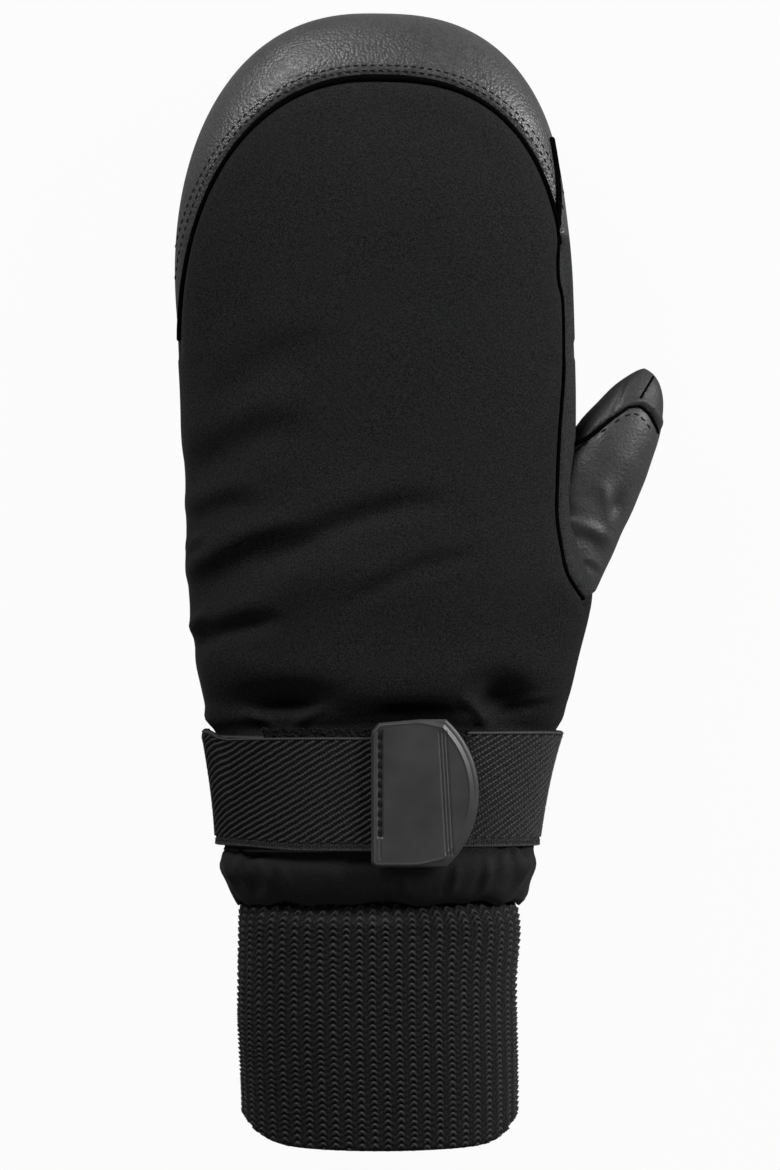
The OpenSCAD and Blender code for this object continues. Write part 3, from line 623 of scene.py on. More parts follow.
# ------------------------------------------------------------------ outer panels of the hand
COLS, EDGE_COL = 256, 12  # columns round the hand, and the one where the back starts
PANEL_T, THUMB_PANEL_T = 1.1, 0.9
HALF = COLS // 2
ring_y = np.concatenate([
    np.linspace(-WRIST_LEN, STRIP_LOW, 69)[:-1], np.linspace(STRIP_LOW, KNUCKLE_Y, 66)[:-1],
    KNUCKLE_Y + DOME * np.sin(np.radians(
        np.concatenate([np.linspace(0, 7.83, 11), np.linspace(8.9, 89.4, 66)]))) ** 0.8])
strip_low_row = 68  # the row at STRIP_LOW
strip_top_row = int(np.argmin(np.abs(ring_y - STRIP_TOP)))
ROWS = len(ring_y)
turns = (np.arange(COLS + 1) - EDGE_COL) * 2 * math.pi / COLS
params = np.stack(np.meshgrid(ring_y, turns, indexing="ij"), -1)
top = slice(EDGE_COL, EDGE_COL + HALF + 1)
xy = hand(params[..., 0], params[..., 1])
edge = np.maximum(arc_distance(xy[..., 0], xy[..., 1]), strip_distance(xy[..., 0], xy[..., 1]))
params[:, top], signs = snap(params[:, top], edge[:, top])
params[:, -1] = params[:, 0] + [0, 2 * math.pi]


CREASE_Y, CREASE_DEEP = -41.3, 1.5  # crease where the shell meets the strap
LIP_Y, LIP_HIGH = -73.0, 0.9  # edge of the roll under the strap


def shell_relief(y, turn):
    """All of the outer relief: folds on the back, tucked seams, and a plainer palm"""
    p = hand(y, turn)
    x = p[..., 0]
    over = smooth_step(-0.25, 0.45, np.sin(turn))
    out = np.abs(arc_distance(x, y))
    strip = np.where((y < STRIP_TOP + 3) & (y > STRIP_LOW - 3), np.abs(x - seam_x(y)), 99)
    h = soft_relief(x, y) * over * (1 - 0.75 * smooth_step(52, 66, y) * hill(out, 5))
    end = np.clip((ROLL_IN - y) / (ROLL_IN + WRIST_LEN), 0, 1)
    h = h - CREASE_DEEP * hill(y - CREASE_Y, 1.8) * smooth_step(0.3, 0.8, np.sin(turn))
    h = h + LIP_HIGH * hill(y - LIP_Y, 2.5)
    h = h * (1 - end ** 2) - (0.3 + 3.4 * np.abs(np.sin(turn))) * (1 - np.sqrt(1 - end ** 2))
    gap = 1.0 + 0.7 * hill(x, 26)
    tuck = 1.1 * hill(out, gap) - 0.35 * hill(out - 5.5, 4.0)
    h = h - np.where(y > ARC_Y - 6, tuck, 0) * over
    h = h - (0.8 * hill(strip, 0.9) - 0.25 * hill(strip - 4, 3)) * over
    # seam with the palm along the little finger's side
    side = np.abs(turn - math.pi) * 24
    h = h - 0.5 * hill(side, 1.0) * smooth_step(-WRIST_LEN + 3, -80, y)
    under = smooth_step(0.1, 0.5, -np.sin(turn))
    for k, way, phase, amp in waves[:14]:
        h = h + under * 0.1 * amp * np.sin(k * (x * math.sin(way) + y * math.cos(way)) * 1.4 + phase)
    flat = hand(y, turn)[..., 2] < REST_Z + 0.02
    return np.where(flat, 0.0, h)


def shell_point(y, turn, lift=0.0):
    """Point of the finished shell, lift above it"""
    p = hand(y, turn) + hand_normal(y, turn) * (shell_relief(y, turn) + lift)[..., None]
    p[..., 1] += (0.5 * np.sin(9 * turn) + 0.4 * np.sin(17 * turn + 1)) * smooth_step(-84, -90, y)
    p[..., 2] = np.maximum(p[..., 2], REST_Z)
    return p


shell = shell_point(params[..., 0], params[..., 1])
tip = np.array([[0, KNUCKLE_Y + DOME + 0.1, MID_Z]])
shell_points = np.concatenate([shell.reshape(-1, 3), tip])
weld = np.arange(len(shell_points))
last_col = np.arange(ROWS) * (COLS + 1) + COLS
weld[last_col] = last_col - COLS
TIP = len(shell_points) - 1
back_faces, rest_faces = split_faces(signs, COLS + 1, EDGE_COL)
cap_faces = [f for f in rest_faces if min(v // (COLS + 1) for v in f) >= strip_top_row]
cap_left = [f for f in rest_faces if min(v // (COLS + 1) for v in f) < strip_top_row
            and max(v % (COLS + 1) for v in f) > EDGE_COL + HALF // 2]
strip_faces = [f for f in rest_faces if min(v // (COLS + 1) for v in f) < strip_top_row
               and max(v % (COLS + 1) for v in f) <= EDGE_COL + HALF // 2]
palm_faces = []
for i in range(ROWS - 1):
    for j in range(COLS):
        if EDGE_COL <= j < EDGE_COL + HALF:
            continue
        a = i * (COLS + 1) + j
        face = [a, a + 1, a + COLS + 2, a + COLS + 1]
        in_strip = j < EDGE_COL and strip_low_row <= i < strip_top_row
        (strip_faces if in_strip else palm_faces).append(face)
fan = (ROWS - 1) * (COLS + 1)
for j in range(COLS):
    (cap_faces if EDGE_COL <= j < EDGE_COL + HALF else palm_faces).append([fan + j, fan + j + 1, TIP])


def panel(name, faces, slot, mat=None):
    welded = [[int(weld[v]) for v in f[::-1]] for f in faces]
    return make(name, shell_points, welded, slot, thick=PANEL_T, mat=mat)


back = panel("back_cloth", back_faces, "softshell")
cap = panel("fingertip_leather", cap_faces + cap_left, "leather")
strip = panel("index_side_strip", strip_faces, "softshell", SIDE_CLOTH_PAINTED_LIGHT)
palm = panel("palm_leather_panel", palm_faces, "leather")
for piece, node in ((back, "back_shell"), (cap, "fingertip_cap"), (strip, "index_gusset"), (palm, "palm_leather")):
    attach(piece, "hand")
    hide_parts(node)


def over_back(x, y, lift=0.0):
    """Point on the padded back over a place of the plan, with its normal"""
    x, y = np.asarray(x, float), np.asarray(y, float)
    turn = turn_at(x, y)
    return shell_point(y, turn, np.broadcast_to(lift, x.shape)), hand_normal(y, turn)


def even(xs, ys, step):
    """Resamples a plan curve at even steps"""
    size = np.concatenate([[0], np.cumsum(np.hypot(np.diff(xs), np.diff(ys)))])
    s = np.linspace(0, size[-1], max(2, int(round(size[-1] / step)) + 1))
    return np.interp(s, size, xs), np.interp(s, size, ys)


# Rolled seams
angles = np.radians(np.linspace(180, 16, 400))
ax, ay = even(*arc_at(angles), 1.2)
points, _ = over_back(ax, ay, 0.55)
roll_r = 0.62 + 0.42 * hill(ax, 26) + 0.03 * np.sin(np.arange(len(points)) * 0.7)
roll = tube("cap_seam_roll", points, roll_r, "softshell", material=SEAM_ROLL_SHADED)
sy = np.concatenate([np.linspace(STRIP_LOW, STRIP_TOP, 180), np.linspace(STRIP_TOP + 1, SEAM_ON_CAP[-1, 0], 40)])
sx = np.where(sy <= STRIP_TOP, seam_x(sy), np.interp(sy, *SEAM_ON_CAP.T))
gx, gy = even(sx, sy, 1.2)
gx = np.minimum(gx, right(gy) - 0.8)
points, _ = over_back(gx, gy, 0.4)
gusset_r = 0.5 + 0.3 * smooth_step(STRIP_TOP - 4, STRIP_TOP + 8, gy)
gusset_roll = tube("gusset_seam_roll", points, gusset_r, "softshell", material=SEAM_ROLL_SHADED)
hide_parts("cap_piping")
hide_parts("gusset_piping")

# Two rows of topstitch on the leather beside the arc
rows = []
for off, name in ((1.95, "cap_topstitch_inner"), (3.35, "cap_topstitch_outer")):
    cx, cy = even(*arc_at(np.radians(np.linspace(172, 24, 400))), 0.5)
    tx, ty = np.gradient(cx), np.gradient(cy)
    size = np.hypot(tx, ty)
    cx, cy = cx - ty / size * off, cy + tx / size * off
    keep = np.abs(cx) < np.where(cx > 0, right(cy), left(cy)) - 0.3
    cx, cy = even(cx[keep], cy[keep], 2.3)
    points, ups = over_back(cx, cy, 0.04)
    rows.append(stitches(name, points, np.gradient(points, axis=0), ups, 1.4, 0.2))
for piece in [roll, gusset_roll] + rows:
    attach(piece, "hand")

# ------------------------------------------------------------------ thumb
THUMB_W, THUMB_T, THUMB_LEN, THUMB_Z = 27.8, 29.6, 60.8, 17.5
THUMB_TURN = math.radians(25)
ROOT_IN = 9.4  # how far the thumb's root lies inside the hand's edge
root = np.array([float(right(np.array(ROOT_Y))) - ROOT_IN, ROOT_Y, 0.0])


def thumb(s, turn, d=0.0):
    """Point of the thumb's surface in its own frame"""
    u = np.clip(s, 0, THUMB_LEN - d) / (THUMB_LEN - d)
    hidden = 1 - 0.55 * smooth_step(-1.5, -9, s)
    inner = hidden * (THUMB_W / 2 - d) * np.maximum(0, 1 - u ** 2.6) ** 0.75
    outer = hidden * (THUMB_W / 2 - d) * np.maximum(0, 1 - u ** 4) ** 0.45
    half = hidden * (THUMB_T / 2 - d) * np.maximum(0, 1 - u ** 3) ** 0.5
    c, sn = np.cos(turn), np.sin(turn)
    return np.stack([np.where(c > 0, outer, inner) * power(c, 2 / SECTION), s + 0 * turn,
                     THUMB_Z + half * power(sn, 2 / SECTION)], -1)


def thumb_world(p):
    """From the thumb's own frame to the scene's"""
    c, s = math.cos(THUMB_TURN), math.sin(THUMB_TURN)
    return np.stack([root[0] + p[..., 0] * c + p[..., 1] * s, root[1] - p[..., 0] * s + p[..., 1] * c, p[..., 2]], -1)


def face_seam(t):
    """Seam of the face panel across the thumb"""
    w, size = THUMB_W, THUMB_LEN
    return np.interp(t, np.array([-1, -0.5, -0.33, -0.1, 0.02, 0.13, 0.26, 0.39, 0.48, 1]) * w,
                     np.array([0.3, 0.385, 0.49, 0.73, 0.805, 0.83, 0.82, 0.775, 0.70, 0.5]) * size)


THUMB_WRINKLES = [
    (3.9, 24.9, 9.7, 15.2, 0.6, 1.8, 1.5, 0.0, 2.0, 2.0), (0.2, 13.0, 11.8, 12.8, 0.8, 1.6, 1.8, 0.5, 3.4, 2.6),
    (8.0, 5.4, 13.0, 4.4, 0.4, 1.2, 1.2, 0.5, 1.6, 1.4), (-6.0, 20.0, 1.0, 17.0, 0.35, 3.0, 3.0, 0.4, 4.0, 3.0)]
THUMB_DIMPLE = (9.0, 22.3, 1.9, 4.0, 1.5)


def thumb_relief(s, turn):
    """Seam, wrinkles and dimple of the thumb's leather"""
    t = thumb(s, turn)[..., 0]
    over = smooth_step(-0.1, 0.2, np.sin(turn))
    seam = s - face_seam(t)
    h = over * (-0.6 * hill(seam, 1.2) + 0.55 * hill(seam - 1.6, 1.0))
    for f in THUMB_WRINKLES:
        h = h + over * fold_shape(t, s, *f) * smooth_step(-2, 4, s)
    dip_t, dip_s, a, b, deep = THUMB_DIMPLE
    h = h - deep * over * np.exp(-(((t - dip_t) / a) ** 2) - ((s - dip_s) / b) ** 2)
    h = h - 0.4 * over * hill(seam - 2.0, 0.6) * smooth_step(2, -1, t)
    h = h + 0.06 * np.sin(s * 0.55 + 2.1 * np.cos(turn)) + 0.08 * np.sin(s * 0.3 + 3 * turn)
    h = h - 0.35 * hill((t + 3.2) + 0.1 * (s - 50), 0.6) * over * (seam > 0.5)
    side = np.minimum(np.abs(turn), np.abs(turn - math.pi)) * 12
    return (h - 0.3 * hill(side, 0.9)) * smooth_step(THUMB_LEN, THUMB_LEN - 3, s)


def thumb_normal(s, turn):
    s = np.clip(s, -50, THUMB_LEN - 0.25)
    across = thumb(s, turn + 0.01) - thumb(s, turn - 0.01)
    return unit(np.cross(across, thumb(s + 0.15, turn) - thumb(s - 0.15, turn)) * -1)


def thumb_point(s, turn, lift=0.0):
    return thumb(s, turn) + thumb_normal(s, turn) * (thumb_relief(s, turn) + lift)[..., None]


T_COLS = 144
thumb_s = np.concatenate([np.linspace(-9, 36, 56)[:-1], np.sqrt(1 - (1 - np.linspace(0, 0.9998, 60)) ** 2) * 24.9 + 36])
t_turns = np.arange(T_COLS + 1) * 2 * math.pi / T_COLS
t_params = np.stack(np.meshgrid(thumb_s, t_turns, indexing="ij"), -1)
t_plain = thumb(t_params[..., 0], t_params[..., 1])
t_top = slice(0, T_COLS // 2 + 1)
value = t_params[..., 0] - face_seam(t_plain[..., 0])
t_params[:, t_top], t_signs = snap(t_params[:, t_top], value[:, t_top])
t_params[:, -1] = t_params[:, 0] + [0, 2 * math.pi]
t_grid = thumb_world(thumb_point(t_params[..., 0], t_params[..., 1]))
t_points = np.concatenate([t_grid.reshape(-1, 3), thumb_world(np.array([[0, THUMB_LEN, THUMB_Z]]))])
t_rows = len(thumb_s)
face_f, back_f = split_faces(t_signs, T_COLS + 1)
under_f = [
    [i * (T_COLS + 1) + j, i * (T_COLS + 1) + j + 1, (i + 1) * (T_COLS + 1) + j + 1, (i + 1) * (T_COLS + 1) + j]
    for i in range(t_rows - 1) for j in range(T_COLS // 2, T_COLS)]
fan = (t_rows - 1) * (T_COLS + 1)
for j in range(T_COLS):
    (back_f if j < T_COLS // 2 else under_f).append([fan + j, fan + j + 1, len(t_points) - 1])
t_weld = np.arange(len(t_points))
t_last = np.arange(t_rows) * (T_COLS + 1) + T_COLS
t_weld[t_last] = t_last - T_COLS


def blend_thumb(piece):
    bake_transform(piece)


for name, faces, node, mat in (("thumb_face_panel", face_f, "thumb_face", THUMB_LEATHER),
                               ("thumb_back_panel", back_f, "thumb_back", THUMB_DARK),
                               ("thumb_under_panel", under_f, "thumb_palm", THUMB_LEATHER)):
    welded = [[int(t_weld[v]) for v in f[::-1]] for f in faces]
    piece = make(name, t_points, welded, "leather", thick=THUMB_PANEL_T, mat=mat)
    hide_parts(node)
    blend_thumb(piece)



def across_turn(t, outer, inner):
    """Turn over the thumb's back at t across it; outer and inner are its half widths there"""
    return np.where(t > 0, np.arccos(np.clip(np.abs(t) / outer, 0, 1) ** (SECTION / 2)),
                    math.pi - np.arccos(np.clip(np.abs(t) / inner, 0, 1) ** (SECTION / 2)))


tt = np.linspace(-10.5, 11.6, 60)
path = thumb_world(thumb_point(face_seam(tt), across_turn(tt, 12.6, 10.8), np.full(len(tt), 0.35)))
thumb_roll = tube("thumb_seam_roll", path, 0.3 + 0.4 * smooth_step(0, -9, tt), "leather", material=SEAM_ROLL_SHADED)
blend_thumb(thumb_roll)
tip_s = np.linspace(52.6, 59.4, 14)
tip_t = 2.3 + 0.105 * (tip_s - 52)
tip_w = THUMB_W / 2 * (1 - (tip_s / THUMB_LEN) ** 4) ** 0.45
path = thumb_world(thumb_point(tip_s, np.arccos((tip_t / tip_w) ** (SECTION / 2)), np.full(len(tip_s), 0.12)))
tip_roll = tube("thumb_tip_seam", path, 0.3, "leather", material=SEAM_ROLL_SHADED)
blend_thumb(tip_roll)
st = np.linspace(-8.5, 8.5, 8)
path = thumb_world(thumb_point(face_seam(st) - 2.6, across_turn(st, 12.8, 11.2), np.full(len(st), 0.0)))
thumb_thread = stitches("thumb_topstitch", path, np.gradient(path, axis=0),
                        np.repeat([[0, 0, 1.0]], len(st), 0), 1.7, 0.22)
blend_thumb(thumb_thread)

# ------------------------------------------------------------------ webbing
BAND_D, WEB_T, LOOP_T, GAP = 0.1, 1.5, 0.8, 0.1
BAND_OUT = BAND_D + WEB_T
LOOP_OUT = BAND_OUT + GAP + LOOP_T
FREE = LOOP_OUT + 0.3
TWILL_T, UNDER_T = 0.85, 1.1  # depth of the cords, and of the strip's plain underside
SEGMENT = 2 * math.pi / 28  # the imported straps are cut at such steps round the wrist


def twill(u, v, half, pitch=1.57, lean=30.0):
    """Relief of diagonal cords between plain selvedges; u along the webbing, v across it"""
    a = math.radians(lean)
    q = (v * math.cos(a) - u * math.sin(a)) / pitch
    wobble = 0.03 * np.sin(u * 1.3 + v * 0.7)
    cord = np.abs(np.sin(math.pi * (q + wobble))) ** 1.8
    w = (u * math.cos(a) + v * math.sin(a)) / 0.95 + 0.5 * np.floor(q + wobble)
    thread = 0.5 + 0.5 * np.cos(2 * math.pi * w)
    body = cord * (0.66 + 0.34 * thread)
    inside = half - np.abs(v)
    plain = 0.5 + 0.2 * np.cos(2 * math.pi * u / 0.8) * hill(inside - 1.1, 0.7)
    rim = 0.4 * hill(inside - 0.3, 0.3) - 0.3 * hill(inside - 2.3, 0.3)
    share = smooth_step(2.2, 2.6, inside + 1.4 * (v > 0))
    return share * body + (1 - share) * (plain + rim)


def web_strip(name, place, u, v, half, flip=False, lean=30.0, mat=None):
    """Webbing over u (along) and v (across); place gives point and normal at a height"""
    uu, vv = np.meshgrid(u, v, indexing="ij")
    h = twill(uu, vv, half, lean=lean)
    round_edge = 0.5 * (1 - np.clip((half - np.abs(vv)) / 0.6, 0, 1)) ** 2
    outer = place(uu, vv, TWILL_T * (h - 1) - round_edge)
    inner = place(uu, vv, np.full(h.shape, -UNDER_T))
    n = h.size
    rows, cols = h.shape
    faces = grid_faces(rows, cols)
    faces += [f[::-1] for f in grid_faces(rows, cols, False, n)]
    ids = np.arange(n).reshape(rows, cols)
    faces += skirt(ids[:, 0], n, False) + skirt(ids[:, -1], n, True)
    # end walls on points of their own, so that the faces beside them keep their shading
    points = [outer.reshape(-1, 3), inner.reshape(-1, 3)]
    for k, (row, back_way) in enumerate(((0, True), (-1, False))):
        first = 2 * n + 2 * cols * k
        points += [outer[row], inner[row]]
        for a in range(first, first + cols - 1):
            wall = [a + 1, a, a + cols, a + cols + 1]
            faces.append(wall[::-1] if back_way else wall)
    if flip:
        faces = [f[::-1] for f in faces]
    # the cords' height goes to the rise attribute, from which the material paints the crests light and the gaps dark
    rise = np.concatenate([h.ravel(), np.zeros(n + 4 * cols)])
    return make(name, np.concatenate(points), faces, "webbing", rise=rise, mat=mat)


def ring_place(base, shift=None):
    """Places webbing round the wrist: u is the length along the ring, v the height on it"""
    turn = np.linspace(-0.5 * math.pi, 1.5 * math.pi, 1500)
    mid = hand(np.full(turn.shape, STRAP_Y), turn, -base)
    size = np.concatenate([[0], np.cumsum(np.linalg.norm(np.diff(mid, axis=0), axis=1))])

    def place(u, v, h):
        t = np.interp(u, size, turn)
        y = STRAP_Y + v + (shift(t) if shift else 0)
        p = hand(y, t, -base)
        return p + hand_normal(y, t) * (h + 1.1 * hill(t, 0.5))[..., None]
    return place, size, turn


band_place, band_size, band_turn = ring_place(BAND_OUT, lambda t: -1.3 * smooth_step(1.62, 1.9, t))
shown = np.interp([-0.1, 0.5 * math.pi + 0.1], band_turn, band_size)
u = np.concatenate([np.linspace(0, shown[0], 100)[:-1], np.arange(*shown, 0.24),
                    np.linspace(shown[1], band_size[-1], 300)])
v = np.linspace(-WEB_W / 2, WEB_W / 2, 140)
band = web_strip("wrist_band_webbing", band_place, u, v, WEB_W / 2, flip=True, lean=-34.0, mat=BAND_CLOTH)
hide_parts("strap_base")
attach(band, "hand")

# Free strap from its sewn start over the back to the tab
HINGE_TURN, START_TURN = math.pi - 2 * SEGMENT, math.pi + SEGMENT
CUT_X = -34.0  # where the sewn start ends and the free webbing begins


def strap_drift(x, v):
    """How far the free strap runs off the band's middle line; its edges turn up towards the sewn start"""
    upper, lower = 3.2 * smooth_step(-36.5, -43.2, x), 1.5 * smooth_step(-20, -42, x)
    share = v / WEB_W + 0.5
    return lower + (upper - lower) * share - 1.2


def free_place(u, v, h):
    t = np.interp(u, free_size, free_turn)
    rise = smooth_step(0, 1, (HINGE_TURN + 0.2 - t) / (1.5 * SEGMENT)) * (FREE - BAND_OUT - 0.2)
    base = BAND_OUT + 0.15 + rise + WEB_T + 1.0 * hill(t - math.pi, 0.5)
    x = hand(np.full(t.shape, STRAP_Y), t)[..., 0]
    y = STRAP_Y + v + strap_drift(x, v)
    on_wrist = np.clip(y, STRAP_LOW, STRAP_TOP - 0.5)
    p = hand(on_wrist, t) + hand_normal(on_wrist, t) * (base + h)[..., None]
    p[..., 1] += y - on_wrist
    return p


free_turn = np.linspace(START_TURN, math.pi / 2 - 0.13, 700)
mid = hand(np.full(free_turn.shape, STRAP_Y), free_turn, -FREE)
free_size = np.concatenate([[0], np.cumsum(np.linalg.norm(np.diff(mid, axis=0), axis=1))])
cut = float(np.interp(CUT_X, mid[:, 0], free_size))
u_all = np.linspace(0, free_size[-1], 330)
k = int(np.argmin(np.abs(u_all - cut)))
v = np.linspace(-WEB_W / 2, WEB_W / 2, 150)
start = web_strip("strap_sewn_start", free_place, u_all[:k + 1], v, WEB_W / 2)
span = web_strip("strap_webbing", free_place, u_all[k:], v, WEB_W / 2)
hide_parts("strap_anchor")
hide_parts("strap_span", "strap_end")
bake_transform(start)
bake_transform(span)

# Loop patch under the free strap, with a napped face
loop_place, loop_size, loop_turns = ring_place(LOOP_OUT)
loop_ends = math.pi / 2 + np.array([-2, 3]) * SEGMENT
lo, hi = np.interp(loop_ends, loop_turns, loop_size)
u, v = np.linspace(lo, hi, 220), np.linspace(-WEB_W / 2, WEB_W / 2 + 0.5, 130)
uu, vv = np.meshgrid(u, v, indexing="ij")
nap = rng.uniform(-0.28, 0.22, uu.shape)
vv[:, -1] += rng.uniform(-0.5, 0.7, len(u))
nap[1:-1, 1:-1] = (nap[1:-1, 1:-1] * 2 + nap[:-2, 1:-1] + nap[2:, 1:-1] + nap[1:-1, :-2] + nap[1:-1, 2:]) / 3
outer, inner = loop_place(uu, vv, nap), loop_place(uu, vv, 0 * nap - LOOP_T * 0.9)
n = nap.size
faces = [f[::-1] for f in grid_faces(*nap.shape)] + grid_faces(*nap.shape, False, n)
ids = np.arange(n).reshape(nap.shape)
for line, way in ((ids[:, 0], 1), (ids[:, -1], 0), (ids[0], 0), (ids[-1], 1)):
    faces += skirt(line, n, way)
pile = make("loop_pile", np.concatenate([outer.reshape(-1, 3), inner.reshape(-1, 3)]), faces, "loop")
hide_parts("loop_patch")
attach(pile, "hand")

# ------------------------------------------------------------------ pull tab
ARC_R = 140.0
ARC_TOP = 48.1
TAB_LEVEL = ARC_TOP + WEB_T + 0.1
TAB_L, TAB_R, TAB_HALF, TAB_ROUND, TAB_Y = -1.6, 28.3, 20.5, 27.6, -58.4
CORNER = [(0.6, -1.0), (0.1, -1.4), (-1.3, -3.1), (-1.6, -3.7), (-1.6, -39.4), (-1.3, -40.2), (-0.6, -40.8),
          (0.3, -41.0)]
GROOVE_X, GROOVE_Y = 0.95, 2.6
RIB_X, RIB_STEP = 18.3, 0.93
arc = np.linspace(-math.asin(TAB_HALF / TAB_ROUND), math.asin(TAB_HALF / TAB_ROUND), 100)
outline = [(TAB_R - TAB_ROUND + TAB_ROUND * math.cos(a), TAB_Y + TAB_ROUND * math.sin(a)) for a in arc]
outline += [(12.0, TAB_Y + TAB_HALF)] + [(x, TAB_Y + TAB_HALF + y) for x, y in CORNER]
outline = np.array(outline)
gx = np.arange(TAB_L - 0.3, TAB_R + 0.6, 0.21)
gy = np.arange(TAB_Y - TAB_HALF - 0.8, TAB_Y + TAB_HALF + 0.6, 0.21)
tab_params = np.stack(np.meshgrid(gx, gy, indexing="ij"), -1)


def outline_distance(x, y):
    """Distance inside the tab's outline, negative outside"""
    d, inside = np.full(x.shape, 1e9), np.zeros(x.shape, bool)
    for a, b in zip(outline, np.roll(outline, -1, 0)):
        e = b - a
        t = np.clip(((x - a[0]) * e[0] + (y - a[1]) * e[1]) / max(e @ e, 1e-12), 0, 1)
        d = np.minimum(d, (x - a[0] - t * e[0]) ** 2 + (y - a[1] - t * e[1]) ** 2)
        between = (a[1] > y) != (b[1] > y)
        inside ^= between & (x < a[0] + (y - a[1]) * e[0] / (e[1] if abs(e[1]) > 1e-9 else 1e-9))
    return np.sqrt(d) * np.where(inside, 1, -1)


inside = outline_distance(tab_params[..., 0], tab_params[..., 1])
tab_params, tab_signs = snap(tab_params, -inside)
inside = np.maximum(outline_distance(tab_params[..., 0], tab_params[..., 1]), 0)
tx, ty = tab_params[..., 0], tab_params[..., 1] - TAB_Y
bevel = 0.75 + 1.75 * smooth_step(10, 20.5, tx)
slope = np.clip(inside / bevel, 0, 1)
height = 0.35 + 0.35 * smooth_step(0, 0.3, inside) + 0.75 * slope + 0.16 * hill(inside - bevel, 0.28)
height = height - 0.14 * hill(inside - 0.55 * bevel, 0.2) * smooth_step(14, 18, tx) * smooth_step(-6, 4, ty)
# the stitches' groove and its fine ends, then three ribs to grip
channel = smooth_step(0.95, 0.55, np.abs(tx - GROOVE_X)) * smooth_step(15.2, 14.6, np.abs(ty - GROOVE_Y))
fine_end = smooth_step(0.4, 0.2, np.abs(tx - GROOVE_X)) * smooth_step(18.6, 18.0, np.abs(ty))
height = height - 0.45 * np.maximum(channel, 0.4 * fine_end)
for k in range(3):
    line = RIB_X + RIB_STEP * k - 0.058 * ty
    height = height - 0.3 * hill(tx - line, 0.22) * smooth_step(17.6, 16.8, np.abs(ty))


def tab_place(x, y, h):
    r = ARC_R + TAB_LEVEL - ARC_TOP + h
    return np.stack([x, y, ARC_TOP - ARC_R + np.sqrt(r * r - x * x)], -1)


tab_upper = tab_place(tab_params[..., 0], tab_params[..., 1], height)
tab_lower = tab_place(tab_params[..., 0], tab_params[..., 1], 0 * height + 0.02)
faces_in, _ = split_faces(tab_signs, len(gy))
n = height.size
edges = dict.fromkeys((a, b) for f in faces_in for a, b in zip(f, f[1:] + f[:1]))
rim_edges = [(a, b) for a, b in edges if (b, a) not in edges]
tab_faces = faces_in + [[v + n for v in f[::-1]] for f in faces_in] + [[b, a, a + n, b + n] for a, b in rim_edges]
tab = make("rubber_tab", np.concatenate([tab_upper.reshape(-1, 3), tab_lower.reshape(-1, 3)]),
           [f[::-1] for f in tab_faces], "rubber")
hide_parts("pull_tab")
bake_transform(tab)

TAB_STITCHES = 11
cy = TAB_Y + GROOVE_Y + np.linspace(-13.4, 13.4, TAB_STITCHES)
centres = tab_place(np.full(TAB_STITCHES, GROOVE_X), cy, np.full(TAB_STITCHES, 1.12))
thread = stitches("tab_thread", centres, np.repeat([[0.04, 1, 0]], TAB_STITCHES, 0),
                  np.repeat([[0, 0, 1.0]], TAB_STITCHES, 0), 2.0, 0.34)
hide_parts("tab_stitches")
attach(thread, "strap_tip")

# Hook tape under the tab: a thin base with rows of hooks, each of six sides
HOOK = ((0.16, -0.3), (0.13, -0.75), (0.27, -0.95), (0.2, -1.15))  # radius, height
hx, hy = np.meshgrid(np.arange(6.2, 22.5, 0.85), np.arange(-71.5, -43.0, 0.85), indexing="ij")
keep = outline_distance(hx, hy) > 4.2
hx, hy = hx[keep], hy[keep]
points, faces = [], []
for x, y in zip(hx, hy):
    z = float(tab_place(np.array(x), np.array(y), np.array(-0.1))[2])
    base = len(points)
    for r, h in HOOK:
        points += [(x + r * math.cos(a), y + r * math.sin(a), z + h) for a in np.arange(6) * math.pi / 3]
    faces += [f[::-1] for f in grid_faces(len(HOOK), 6, True, base)]
    faces.append([base + 6 * (len(HOOK) - 1) + q for q in range(6)][::-1])
sheet = (40, 60)
sheet_n = sheet[0] * sheet[1]
sheet_x, sheet_y = np.meshgrid(np.linspace(5.2, 23.6, sheet[0]), np.linspace(-73.3, -41.7, sheet[1]), indexing="ij")
round_x = TAB_R - TAB_ROUND + np.sqrt(np.maximum((TAB_ROUND - 3.3) ** 2 - (sheet_y - TAB_Y) ** 2, 1))
keep_x = np.minimum(sheet_x, round_x)
base = len(points)
upper = tab_place(keep_x, sheet_y, 0 * keep_x - 0.02).reshape(-1, 3)
lower = tab_place(keep_x, sheet_y, 0 * keep_x - 0.42).reshape(-1, 3)
points = np.concatenate([np.array(points).reshape(-1, 3), upper, lower])
faces += grid_faces(*sheet, False, base)
faces += [f[::-1] for f in grid_faces(*sheet, False, base + sheet_n)]
ids = base + np.arange(sheet_n).reshape(sheet)
for line, way in ((ids[:, 0], 0), (ids[:, -1], 1), (ids[0], 1), (ids[-1], 0)):
    faces += skirt(line, sheet_n, way)
hooks = make("hook_tape", points, faces, "hook", smooth=False)
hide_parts("hook_patch")
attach(hooks, "tab")

# ------------------------------------------------------------------ knit cuff
PAIRS, PAIR_COLS = 52, 10  # pairs of ribs, and columns of the mesh for each
COURSE, COURSE_ROWS = 1.77, 7
HEM_ROUND, HEM_R, KNIT_RELIEF = 7.0, 1.5, 0.95


def cuff_ring(y, turn, d, lift):
    """Point of the cuff's section d below its face; lift rounds the hem's corners up"""
    w, t = CUFF_W / 2 - d, CUFF_T / 2 - d
    x = w * power(np.cos(turn), 2 / SECTION)
    z = MID_Z + t * power(np.sin(turn), 2 / SECTION)
    u = np.abs(x / w)
    x = x + 0.8 * lift + 1.3 * hill(y + 97, 9) * smooth_step(0, 1, x / w)
    return np.stack([x, y + lift * (HEM_ROUND * np.where(x > 0, u ** 11, u ** 8) + 2.1 * u * u + 0.7), z], -1)


